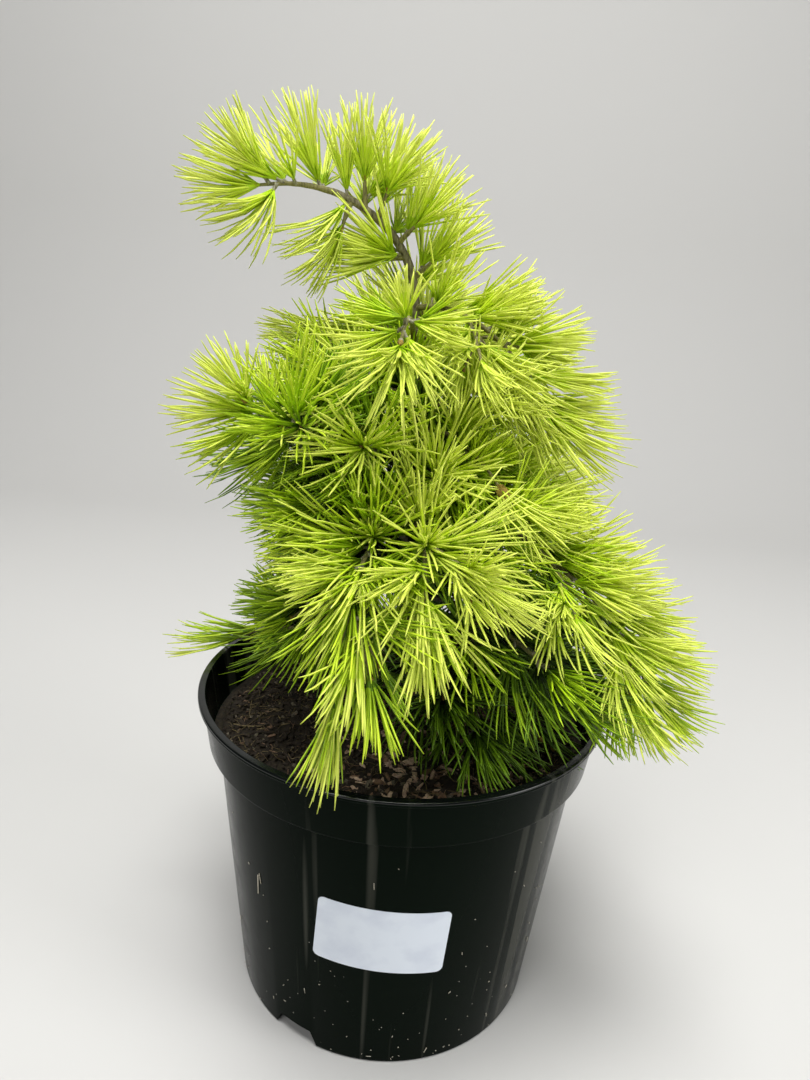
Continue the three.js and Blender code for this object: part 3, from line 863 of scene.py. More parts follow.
@dataclass
class Cedar:
    """The plant's wood: its trunk, boughs and twigs, grown by the rule.

    Three radii or numbers of sides are a stem's, a side shoot's and a twiglet's. A
    twiglet's splay, rise and length have the middle of what is drawn and how widely
    it is spread. A relief's depth is a share of the limb's radius.
    """

    foot: Vector = field(default_factory=lambda: Vector((1, 0, 150)))
    trunk_length: float = 280.0
    flare_radius: float = 7.4
    flare_length: float = 14.0
    trunk_radius: float = 4.9
    trunk_tip_radius: float = 1.5
    trunk_taper: float = 0.8
    trunk_sides: int = 28
    bough_radius: float = 2.3
    bough_tip_radius: float = 1.5
    bough_swell: float = 0.9
    bough_swell_length: float = 8.0
    bough_start: float = 2.0
    bough_sides: int = 14
    twig_radii: tuple[float, ...] = (1.4, 0.95, 0.75)
    twig_tip_radius: float = 0.6
    twig_sides: tuple[int, ...] = (10, 7, 7)
    side_length: float = 32.0
    side_splay: float = 52.0
    side_seeds: tuple[int, int] = (101, 37)
    twiglet_seeds: tuple[int, int] = (7001, 1)
    twiglet_places: tuple[tuple[float, int], ...] = ((0.38, 1), (0.66, -1))
    twiglet_splay: tuple[float, float] = (48.0, 20.0)
    twiglet_rise: tuple[float, float] = (4.0, 20.0)
    twiglet_length: tuple[float, float] = (14.0, 5.0)
    twiglet_droop: float = 18.0
    crack_round: float = 1.6
    crack_run: float = 7.0
    crack_depth: float = 0.1
    flake_round: float = 4.5
    flake_run: float = 2.2
    flake_depth: float = 0.06
    scar_turn: float = 0.42
    scar_height: float = 0.14
    cushion_turn: float = 1.3
    cushion_height: float = 0.16
    skin_run: float = 1.5
    skin_depth: float = 0.05
    scale_height: float = 0.12
    room: float = 3.0
    overreach: float = 14.0
    bud_rings: tuple[float, ...] = (-0.6, 0.2, 1.2, 2.2, 2.9)
    bud_length: float = 4.6
    bud_radius: float = 1.25
    bud_tip_radius: float = 0.25
    bud_sides: int = 8
    swollen_buds: dict[str, float] = field(
        default_factory=lambda: {"front_right_mid": 2.5, "low_front": 1.8}
    )

    def __post_init__(self) -> None:
        """Grow the trunk, the boughs and all their twigs."""
        stem = STEM.grown(self.foot)
        leader = LEADER.grown(stem.points[-1])
        self.trunk = Line([*stem.points, *leader.points[1:]])
        self.shoots = [*BOUGHS, *SPURS, LEADER]
        self.lines = [shoot.grown(self.trunk.spot(shoot.along)[0]) for shoot in self.shoots[:-1]]
        self.lines.append(self.trunk.stretch(self.trunk_length, self.trunk.length))
        self.stems = [line.stretch(shoot.bare, line.length) for shoot, line in zip(self.shoots, self.lines)]
        self.twigs: list[Twig] = []
        for i, stem in enumerate(self.stems):
            self.twigs.append(Twig(stem, i))
            self.twigs += self.side_shoots(i, Draws(*self.side_seeds, i))
        for twig in [one for one in self.twigs if one.order == 1]:
            self.twigs += self.twiglets(twig)

    def trunk_radius_at(self, run: float) -> float:
        """Work out the trunk's radius, with its taper and its root flare.

        Args:
            run: How far up the trunk.

        Returns:
            The radius there.
        """
        flare = (self.flare_radius - self.trunk_radius) * max(0.0, 1 - run / self.flare_length) ** 2
        share = min(1.0, run / self.trunk_length) ** self.trunk_taper
        return flare + lerp(self.trunk_radius, self.trunk_tip_radius, share)

    def side_shoots(self, number: int, draw: Draws) -> list[Twig]:
        """Grow a stem's side shoots: alternate, splayed, each a little drooping.

        Args:
            number: Which shoot they are on.
            draw: The shoot's own run of draws.

        Returns:
            Those that keep clear of the pot and to the shoot's own space.
        """
        shoot, stem = self.shoots[number], self.stems[number]
        grown = []
        for i in range(shoot.sides):
            # The numbers are the rule's own, as the solids' source has them
            share = (i + 0.6 + 0.3 * draw()) / (shoot.sides + 0.7)
            bearing, slope = shoot.course(lerp(shoot.bare / shoot.length, 1, share))
            bearing += (1 if i % 2 else -1) * self.side_splay * (0.8 + 0.4 * draw())
            length = self.side_length * (0.75 + 0.5 * draw())
            side = Shoot("side", 0, bearing, max(-60, slope + 8), max(-80, slope - 22), length)
            grown.append(Twig(side.grown(stem.spot(share * stem.length)[0]), number, 1))
        return [twig for twig in grown if self.has_room(twig)]

    def twiglets(self, twig: Twig) -> list[Twig]:
        """Grow the finest twigs, two to a side shoot.

        Args:
            twig: The side shoot.

        Returns:
            Those that have room.
        """
        draw = Draws(*self.twiglet_seeds, twig.shoot)
        grown = []
        for share, hand in self.twiglet_places:
            point, ahead = twig.line.spot(share * twig.line.length)
            bearing = math.degrees(math.atan2(ahead.y, ahead.x)) + hand * draw.near(*self.twiglet_splay)
            slope = math.degrees(math.asin(ahead.z)) + draw.near(*self.twiglet_rise)
            length = draw.near(*self.twiglet_length)
            finer = Shoot("twiglet", 0, bearing, slope, slope - self.twiglet_droop, length)
            grown.append(Twig(finer.grown(point), twig.shoot, 2))
        return [one for one in grown if self.has_room(one)]

    def has_room(self, twig: Twig) -> bool:
        """Tell whether a twig keeps clear of the pot and to its mass's own space."""
        points = np.array(twig.line.points)
        return bool(Pot.clears(points, self.room).all() and self.in_own_space(points, twig.shoot).all())

    def in_own_space(self, points: np.ndarray, owner: int) -> np.ndarray:
        """Tell which points lie no nearer another mass's stem than their own.

        Args:
            points: The points.
            owner: The number of the shoot that they belong to.

        Returns:
            True for each point that passes, give or take the overreach.
        """
        near = np.full((len(points), len(self.stems)), np.inf)
        for i, stem in enumerate(self.stems):
            for start, stop in zip(stem.points, stem.points[1:]):
                base, span = np.array(start), np.array(stop - start)
                share = np.clip((points - base) @ span / (span @ span), 0, 1)
                gap = np.linalg.norm(points - base - share[:, None] * span, axis=1)
                near[:, i] = np.minimum(near[:, i], gap)
        own = near[:, owner].copy()
        near[:, owner] = np.inf
        return near.min(axis=1) > own - self.overreach

    def bark_relief(self, run: float, angle: float) -> float:
        """Shape old bark: long cracks and low scars.

        Args:
            run: How far along the limb.
            angle: The angle round it.

        Returns:
            The share of the radius that the bark stands out by.
        """
        across, back, turn = math.cos(angle), math.sin(angle), run * self.scar_turn
        cracks = Vector((across * self.crack_round, back * self.crack_round, run / self.crack_run))
        flakes = Vector((across * self.flake_round, back * self.flake_round, run / self.flake_run))
        scar = max(0.0, math.cos(3 * angle + turn)) ** 6 * max(0.0, math.cos(turn + angle)) ** 4
        rough = self.crack_depth * noise.noise(cracks) + self.flake_depth * noise.noise(flakes)
        return rough + self.scar_height * scar

    def twig_relief(self, run: float, angle: float) -> float:
        """Shape a young twig: the cushions that its leaves stand on, and a fine roughness.

        Args:
            run: How far along the twig.
            angle: The angle round it.

        Returns:
            The share of the radius that its skin stands out by.
        """
        cushion = max(0.0, math.cos(2 * angle + run * self.cushion_turn)) ** 3
        fine = noise.noise(Vector((angle, run / self.skin_run, 0)))
        return self.cushion_height * cushion + self.skin_depth * fine

    def bud_relief(self, run: float, angle: float) -> float:
        """Return the share by which a bud's scales stand out, in a spiral."""
        return self.scale_height * math.cos(4 * angle + 3 * run)

    def build_limbs(self) -> None:
        """Make the trunk and the boughs, with their bark."""
        bark = CedarBark("young_cedar_bark")
        trunk = Stock()
        line = self.trunk.stretch(0, self.trunk_length).smoothed()
        trunk.add(*tube(line, self.trunk_radius_at, self.trunk_sides, self.bark_relief))
        made = trunk.cast("trunk_bark", [bark])
        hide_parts("trunk")
        boughs = Stock()
        for shoot, line in zip(BOUGHS, self.lines):
            foot = self.bough_radius * min(1.25, 0.7 + shoot.length / 300)

            def radius(run: float, shoot: Shoot = shoot, foot: float = foot) -> float:
                """Return the radius at a distance along, which swells at the trunk."""
                swell = max(0.0, 1 - (run - self.trunk_radius) / self.bough_swell_length)
                even = lerp(foot, self.bough_tip_radius, min(1.0, run / shoot.bare))
                return even + self.bough_swell * swell

            bare = line.stretch(self.bough_start, shoot.bare).smoothed()
            boughs.add(*tube(bare, radius, self.bough_sides, self.bark_relief))
        made = boughs.cast("bough_bark", [bark])
        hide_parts(*(f"bough_{shoot.name}" for shoot in BOUGHS))

    def build_twigs(self) -> None:
        """Make the twigs inside the masses, with a bud at each tip."""
        skin = CedarBark("young_twig_skin", "#4f4a2c", "#7f7a48", "#a09a66", 0.8)
        bud = CedarBark("bud_scales", "#5a4620", "#94782f", "#bba04e", 0.5)
        stock = Stock()
        for twig in self.twigs:
            foot = self.twig_radii[twig.order]

            def radius(run: float, foot: float = foot, length: float = twig.line.length) -> float:
                """Return the twig's radius, which tapers evenly."""
                return lerp(foot, self.twig_tip_radius, min(1.0, run / length))

            stock.add(*tube(twig.line.smoothed(2), radius, self.twig_sides[twig.order], self.twig_relief))
            tip, ahead = twig.line.spot(twig.line.length)
            size = 1.0 if twig.order else self.swollen_buds.get(self.shoots[twig.shoot].name, 1.0)
            scales = Line([tip + ahead * run * size for run in self.bud_rings])

            def bulge(run: float, size: float = size) -> float:
                """Return the bud's radius."""
                round_at = math.sin(math.pi * (run / size + 0.5) / self.bud_length)
                return max(self.bud_tip_radius, self.bud_radius * round_at) * size

            stock.add(*tube(scales, bulge, self.bud_sides, self.bud_relief), 1)
        made = stock.cast("leafy_twigs", [skin, bud])


@dataclass(frozen=True)
class Tuft:
    """A rosette or a brush of needles: where they start, the way it faces, how far
    its outermost needles lean from that in degrees, how many they are, about how
    long, and how much more light it gets than its place gives it."""

    root: Vector
    axis: Vector
    spread: float
    needles: int
    reach: float
    light: float


class Sprays:
    """Needles that are dealt out: where each one starts, the way it points and the
    tuft it belongs to, and for each tuft its middle and its share of light."""

    lean_spread = 19.0
    turn_spread = 1.0
    root_spread = 1.6
    longest = 1.05
    shortening = 0.3
    few_short = 1.6

    def __init__(self) -> None:
        """Start with none."""
        self.roots: list[Vector] = []
        self.ways: list[Vector] = []
        self.owners: list[int] = []
        self.middles: list[Vector] = []
        self.lights: list[float] = []

    def add(self, tuft: Tuft, draw: Draws) -> None:
        """Deal out one tuft, evenly spread, with its needles ruffled a little.

        Args:
            tuft: The tuft.
            draw: The twig's own run of draws.
        """
        turn = draw() * 2 * math.pi
        for k in range(tuft.needles):
            out = tuft.spread * math.sqrt((k + 0.5) / tuft.needles)
            lean = math.radians(out + draw.near(0, self.lean_spread))
            way = leaning(tuft.axis, turn + k * GOLDEN_ANGLE + draw.near(0, self.turn_spread), lean)
            self.roots.append(tuft.root + tuft.axis * draw.near(0, self.root_spread))
            self.ways.append(way * tuft.reach * (self.longest - self.shortening * draw() ** self.few_short))
            self.owners.append(len(self.middles))
        self.middles.append(tuft.root + tuft.axis * tuft.reach * 0.5)
        self.lights.append(tuft.light)


@dataclass
class Foliage:
    """The needles, in rosettes along the cedar's twigs and a brush at each tip, and
    the short shoots that the rosettes stand on.

    A lean, a spread, a crowding, a fullness of brushes and a clear tip have one
    number for a stem that is level or rises, and one for a stem that hangs. A
    reach, a fullness of rosettes, a pace and a ruffle have the middle of what is
    drawn and how widely it is spread. A brush's spread has one number for a short
    twig, one for a long one and one for a twig that hangs, and its other threes are
    for a stem, a side shoot and a twiglet.
    """

    cedar: Cedar
    needle_length: float = 38.0
    needle_radius: float = 0.56
    needle_sweep: float = 0.2
    needle_lift: float = 0.34
    needle_turning: tuple[float, float] = (0.4, 1.6)
    needle_level: float = 0.25
    needle_sky: float = 0.6
    needle_roll: float = 0.3
    needle_rings: tuple[tuple[float, float], ...] = ((0, 0.8), (0.2, 1), (0.52, 1), (0.86, 0.86), (1, 0.34))
    inner_share: float = 0.8
    inner_start: float = 0.45
    inner_overlap: float = 4.0
    short_leaved: dict[str, float] = field(default_factory=lambda: {
        "right_high": 0.82, "right_back_high": 0.84, "right_back": 0.82, "right_back_low": 0.88,
    })
    spur_gap: float = 10.5
    spur_start: float = 4.0
    spur_length: float = 3.0
    spur_lean: tuple[float, float] = (56.0, 34.0)
    spur_spread: tuple[float, float] = (31.0, 17.0)
    spur_crowding: tuple[float, float] = (1.0, 0.6)
    spur_needles: int = 27
    spur_lean_spread: float = 16.0
    spur_reach: tuple[float, float] = (0.96, 0.3)
    spur_fullness: tuple[float, float] = (1.0, 0.5)
    spur_pace: tuple[float, float] = (1.0, 0.4)
    spur_rings: tuple[float, ...] = (0.0, 1.2, 1.8, 2.6, 3.2, 3.8)
    spur_radii: tuple[float, float] = (1.0, 0.7)
    spur_sides: int = 6
    tip_clear: tuple[float, float] = (6.0, 13.0)
    lone_ends: dict[str, float] = field(default_factory=lambda: {
        "hanging_front_left": 40.0, "low_left": 30.0, "front_right_mid": 20.0,
    })
    brush_spread: tuple[float, ...] = (22.0, 52.0, 15.0)
    brush_needles: tuple[int, ...] = (44, 33, 22)
    brush_lengths: tuple[float, ...] = (0.92, 0.85, 0.7)
    brush_fullness: tuple[float, float] = (1.0, 0.6)
    thin_brushes: dict[str, float] = field(default_factory=lambda: {
        "low_left": 0.3, "hanging_front_left": 0.3, "hanging_front_right": 0.45, "front_right_mid": 0.3,
    })
    brush_ruffle: tuple[float, float] = (0.95, 0.4)
    brush_light: float = 0.08
    light_spread: float = 0.2
    short_twig_needles: float = 0.45
    short_twig_reach: float = 0.9
    leader_growth: float = 0.6
    hand_set: tuple[str, ...] = (
        "upper_right", "upper_front", "upper_left", "left_back_high", "right_mid", "left",
    )
    open_whorl: float = 38.0
    heart_needles: int = 24
    heart_rise: float = 2.0
    heart_spread: float = 36.0
    heart_share: float = 0.4
    heart_light: float = 0.8
    leafy_trunk: tuple[float, float] = (70.0, 190.0)
    leafy_trunk_crowding: float = 0.65
    leafy_trunk_shade: float = 0.3
    leafy_knee: tuple[float, float] = (205.0, 240.0)
    leafy_knee_crowding: float = 1.5
    twig_seeds: tuple[int, int] = (4001, 53)
    inner_seeds: tuple[int, int] = (2003, 71)
    trunk_seed: int = 3001
    sky_aside: float = 0.9
    cover_reach: float = 50.0
    cover_depth: float = 9.0
    crown_height: float = 270.0
    height_light: float = 0.62
    light_limits: tuple[float, ...] = (0.84, 0.66, 0.5, 0.34, 0.18)
    golden_tints: int = 4
    room: float = 1.0
    # Painted light and shade: how much lighter or darker each shoot's needles are tinted
    lit: tuple[tuple[float, tuple[str, ...]], ...] = (
        (-0.62, ("left", "left_mid")),
        (-0.52, ("low_left", "upper_front", "low_right", "low_front")),
        (-0.4, ("back_low", "left_back", "left_high", "left_front", "left_low")),
        (-0.28, ("front_star", "hanging_front_left", "low_right_front")),
        (-0.16, ("low_right_back", "big_right")),
        (-0.06, ("centre_right", "mid_right_star")),
        (0.08, ("right_mid", "front_right_mid", "centre_front")),
        (0.3, ("upper_right", "right_high")),
    )

    def __post_init__(self) -> None:
        """Deal out the needles: the twigs', those inside the crown, then the whorls'."""
        self.sprays = Sprays()
        self.spurs: list[tuple[Vector, Vector]] = []
        for number, twig in enumerate(self.cedar.twigs):
            if twig.order or self.cedar.shoots[twig.shoot].name not in self.hand_set:
                self.dress_twig(twig, Draws(*self.twig_seeds, number))
        inner = self.needle_length * self.inner_share
        for number, (shoot, line) in enumerate(zip(BOUGHS, self.cedar.lines)):
            span = (shoot.bare * self.inner_start, shoot.bare + self.inner_overlap)
            growth = Growth(inner, self.spur_gap, self.shade(shoot.name))
            self.dress_stem(line, span, Draws(*self.inner_seeds, number), growth)
        draw, trunk = Draws(self.trunk_seed), self.cedar.trunk
        low = Growth(inner, self.spur_gap * self.leafy_trunk_crowding, self.leafy_trunk_shade)
        self.dress_stem(trunk, self.leafy_trunk, draw, low)
        knee = Growth(inner, self.spur_gap * self.leafy_knee_crowding)
        self.dress_stem(trunk, self.leafy_knee, draw, knee)
        self.add_whorls(draw)

    def shade(self, name: str) -> float:
        """Return how much light a shoot loses to what stands over or beside it."""
        return next((-light for light, names in self.lit if name in names), 0.0)

    def dress_twig(self, twig: Twig, draw: Draws) -> None:
        """Set rosettes along a twig, and a brush at its tip.

        Args:
            twig: The twig.
            draw: Its own run of draws.
        """
        shoot, line = self.cedar.shoots[twig.shoot], twig.line
        own = "" if twig.order else shoot.name
        shade = self.shade(shoot.name)
        tip, ahead = line.spot(line.length)
        hanging = hang(ahead)
        leaf = self.needle_length * self.short_leaved.get(shoot.name, 1.0)
        if shoot is not LEADER:
            stop = line.length - self.lone_ends.get(own, lerp(*self.tip_clear, hanging))
            self.dress_stem(line, (self.spur_start, stop), draw, Growth(leaf, self.spur_gap, shade))
        grown = min(1.0, line.length / self.cedar.side_length)
        grown *= self.leader_growth if shoot is LEADER else 1
        short, long, hung = self.brush_spread
        spread = lerp(lerp(short, long, grown), hung, hanging) * draw.near(*self.brush_ruffle)
        light = draw.near(self.brush_light - shade, self.light_spread)
        full = lerp(*self.brush_fullness, hanging) if twig.order else self.thin_brushes.get(own, 1)
        needles = self.brush_needles[twig.order] * lerp(self.short_twig_needles, 1, grown) * full
        reach = leaf * self.brush_lengths[twig.order] * lerp(self.short_twig_reach, 1, grown)
        self.sprays.add(Tuft(tip - ahead, ahead, spread, round(needles), reach, light), draw)

    def dress_stem(self, line: Line, span: tuple[float, float], draw: Draws, growth: Growth) -> None:
        """Set rosettes on short shoots round a stem.

        Args:
            line: The stem's middle.
            span: How far along it they start and stop.
            draw: The stem's own run of draws.
            growth: How the rosettes grow there.
        """
        run, turn = span[0], draw() * 2 * math.pi
        while run < span[1]:
            point, ahead = line.spot(run)
            hanging = hang(ahead)
            lean = math.radians(draw.near(lerp(*self.spur_lean, hanging), self.spur_lean_spread))
            axis = leaning(ahead, turn, lean)
            light = draw.near(-growth.shade, self.light_spread)
            reach = growth.reach * draw.near(*self.spur_reach)
            needles = round(self.spur_needles * draw.near(*self.spur_fullness))
            self.spurs.append((point, axis))
            root = point + axis * self.spur_length
            spread = lerp(*self.spur_spread, hanging)
            self.sprays.add(Tuft(root, axis, spread, needles, reach, light), draw)
            turn += GOLDEN_ANGLE
            run += growth.gap * lerp(*self.spur_crowding, hanging) * draw.near(*self.spur_pace)

    def add_whorls(self, draw: Draws) -> None:
        """Add the rosettes that have places of their own. A wide open one shows a
        heart of short young needles.

        Args:
            draw: The run of draws that the trunk's rosettes are on.
        """
        limbs = dict(zip((shoot.name for shoot in self.cedar.shoots), self.cedar.lines))
        limbs["trunk"] = self.cedar.trunk
        for limb, whorls in WHORLS.items():
            for whorl in whorls:
                point, axis = limbs[limb].spot(whorl.along)[0], heading(whorl.bearing, whorl.slope)
                light, reach = whorl.light - self.shade(limb), self.needle_length * whorl.share
                root = point + axis * self.spur_length
                self.spurs.append((point, axis))
                self.sprays.add(Tuft(root, axis, whorl.spread, whorl.needles, reach, light), draw)
                if whorl.spread > self.open_whorl:
                    reach, light = reach * self.heart_share, light + self.heart_light
                    root = root + axis * self.heart_rise
                    heart = Tuft(root, axis, self.heart_spread, self.heart_needles, reach, light)
                    self.sprays.add(heart, draw)

    def tints(self) -> np.ndarray:
        """Choose each tuft's colour by how much light it gets, which paints shade into the colour.

        A tuft is shaded by the others near it on the side of the sky, which is up
        and out from the trunk, and gets more light the higher it is.

        Returns:
            The number of a tint for each tuft, from full sun to deep shade.
        """
        middles, foot = np.array(self.sprays.middles), self.cedar.foot
        sky = middles - [foot.x, foot.y, 0]
        sky[:, 2] = 0
        sky *= self.sky_aside / np.linalg.norm(sky, axis=1, keepdims=True)
        sky[:, 2] = 1
        sky = unit(sky)
        apart = middles[None] - middles[:, None]
        gap = np.linalg.norm(apart, axis=2) + 0.1
        ahead = np.maximum(0, np.einsum("ijk,ik->ij", apart, sky) / gap)
        cover = (ahead * np.exp(-((gap / self.cover_reach) ** 2))).sum(axis=1)
        height = (middles[:, 2] - foot.z) / self.crown_height
        light = np.exp(-cover / self.cover_depth) + self.height_light * height + np.array(self.sprays.lights)
        return (light[:, None] < np.array(self.light_limits)).sum(axis=1)

    def build_needles(self) -> None:
        """Make the needles, each tint and each half of the crown apart, in place of
        the solids' masses."""
        roots, ways = np.array(self.sprays.roots), np.array(self.sprays.ways)
        tints = self.tints()[self.sprays.owners]
        clear = np.ones(len(roots), bool)
        for share in np.linspace(0, 1, 5):
            clear &= Pot.clears(roots + ways * share, self.room)
        log.info("%d of %d needles keep clear of the pot", clear.sum(), len(clear))
        masses = [f"needles_{shoot.name}" for shoot in self.cedar.shoots]
        flesh = [CedarNeedle(f"{tint.name.lower()}_needle", tint.value) for tint in Tint]
        front = roots[:, 1] < 0
        for number, tint in enumerate(list(Tint)[:-2]):
            for side, here in (("front", front), ("back", ~front)):
                chosen = clear & here & (tints == number)
                stock = Stock()
                self.add_needles(stock, roots[chosen], ways[chosen], number + 1)
                finishes = [flesh[max(0, number - 1)], *flesh[number : number + 3]]
                made = stock.cast(f"{tint.name.lower()}_needles_{side}", finishes)
                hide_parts(*masses)

    def add_needles(self, stock: Stock, roots: np.ndarray, ways: np.ndarray, seed: int) -> None:
        """Add many needles: three-sided, with a short point, and curved, those that
        hang most, because their tips turn to the light.

        Args:
            stock: What they are gathered in; each needle has four finishes, from
                the sky side of its tip, which is a painted highlight, to its root.
            roots: Where each one starts.
            ways: The way that each points, with its length.
            seed: Starts the draws for their bends.
        """
        draw = np.random.default_rng(seed)
        count, sides = len(roots), 3
        lengths = np.linalg.norm(ways, axis=1, keepdims=True)
        ahead = ways / lengths
        sway = unit(np.cross(ahead, draw.normal(size=(count, 3))))
        bend = sway * lengths * draw.uniform(0, self.needle_sweep, (count, 1))
        aside = unit(np.cross(ahead, [0, 0, 1] + sway * self.needle_roll))
        up = np.cross(aside, ahead)
        light = roots - np.array(self.cedar.foot)
        light[:, 2] = self.needle_sky * np.linalg.norm(light[:, :2], axis=1)
        light = unit(light)
        light -= ahead * (light * ahead).sum(axis=1, keepdims=True)
        hanging = np.clip(self.needle_level - ahead[:, 2:], 0, 1)
        turned_up = hanging * draw.uniform(*self.needle_turning, (count, 1))
        bend += light * lengths * self.needle_lift * turned_up
        angles = np.pi / 2 + np.pi * (2 * np.arange(sides) - 1) / sides
        ring = np.cos(angles)[None, :, None] * aside[:, None] + np.sin(angles)[None, :, None] * up[:, None]
        rings = []
        for share, width in self.needle_rings:
            middle = roots + ways * share + bend * share**2
            rings.append(middle[:, None] + ring * (width * self.needle_radius))
        first, k = np.arange(count)[:, None] * (len(rings) * sides), np.arange(sides)
        after = (k + 1) % sides

        def band(number: int, chosen: slice) -> np.ndarray:
            """Return the chosen sides' faces between two rings of every needle."""
            low, high = first + number * sides, first + (number + 1) * sides
            return np.stack([low + k, low + after, high + after, high + k], -1)[:, chosen].reshape(-1, 4)

        sky, rest, tips = slice(0, 1), slice(1, sides), first + (len(rings) - 1) * sides + k
        # The side facing the sky takes a tint lighter: a painted highlight
        dressed = [
            (band(2, sky), 0), (band(3, sky), 0), (band(2, rest), 1), (band(3, rest), 1), (tips, 1),
            (band(1, sky), 1), (band(1, rest), 2), (band(0, slice(sides)), 3), (first + k[::-1], 3),
        ]
        faces, finishes = zip(*dressed)
        stock.add(np.stack(rings, 1).reshape(-1, 3), faces, finishes)

    def spur_radius(self, run: float) -> float:
        """Return a short shoot's radius at a distance along it."""
        return lerp(*self.spur_radii, run / self.spur_rings[-1])

    def spur_relief(self, run: float, angle: float) -> float:
        """Return the share by which a short shoot's rings of scales stand out."""
        return 0.14 * math.cos(4 * run)

    def build_spurs(self) -> None:
        """Make the short shoots that the rosettes sit on: ringed, scaly knobs."""
        skin = CedarBark("short_shoot_scales", "#5c5240", "#8f8a70", "#c3c4ae", 0.6)
        stock = Stock()
        for point, axis in self.spurs:
            line = Line([point + axis * run for run in self.spur_rings])
            stock.add(*tube(line, self.spur_radius, self.spur_sides, self.spur_relief))
        made = stock.cast("short_shoots", [skin])


def filleted(profile: Sequence[tuple[float, float]], radius: float) -> list[tuple[float, float]]:
    """Round every inner corner of a profile.

    Args:
        profile: Its corners.
        radius: How far from each corner the rounding starts.

    Returns:
        The profile's points.
    """
    points = [Vector(p) for p in profile]
    rounded = [points[0]]
    for before, here, after in zip(points, points[1:], points[2:]):
        room = min((before - here).length, (after - here).length) / FILLET_ROOM
        reach = min(radius, room)
        start = here + (before - here).normalized() * reach
        stop = here + (after - here).normalized() * reach
        for i in range(FILLET_STEPS + 1):
            t = i / FILLET_STEPS
            rounded.append(start * (1 - t) ** 2 + here * 2 * t * (1 - t) + stop * t**2)
    return [tuple(p) for p in [*rounded, points[-1]]]


def turned(profile: Sequence[tuple[float, float]], sides: int) -> tuple[np.ndarray, Faces]:
    """Turn a profile round the axis.

    Args:
        profile: Its points, by radius and height. It starts and ends on the axis.
        sides: How many sides the round has.

    Returns:
        The corners and faces.
    """
    inner = profile[1:-1]
    angle = 2 * np.pi * np.arange(sides) / sides
    rings = [np.stack([r * np.cos(angle), r * np.sin(angle), np.full(sides, z)], -1) for r, z in inner]
    corners = np.concatenate([*rings, [[0, 0, profile[0][1]], [0, 0, profile[-1][1]]]])
    return corners, shell(len(inner), sides)


@dataclass(frozen=True)
class Fleck:
    """One dried fleck on the pot's wall: the height and bearing of its middle, half
    its length, its radius, and its lean from the level in radians."""

    height: float
    bearing: float
    half: float
    radius: float
    lean: float


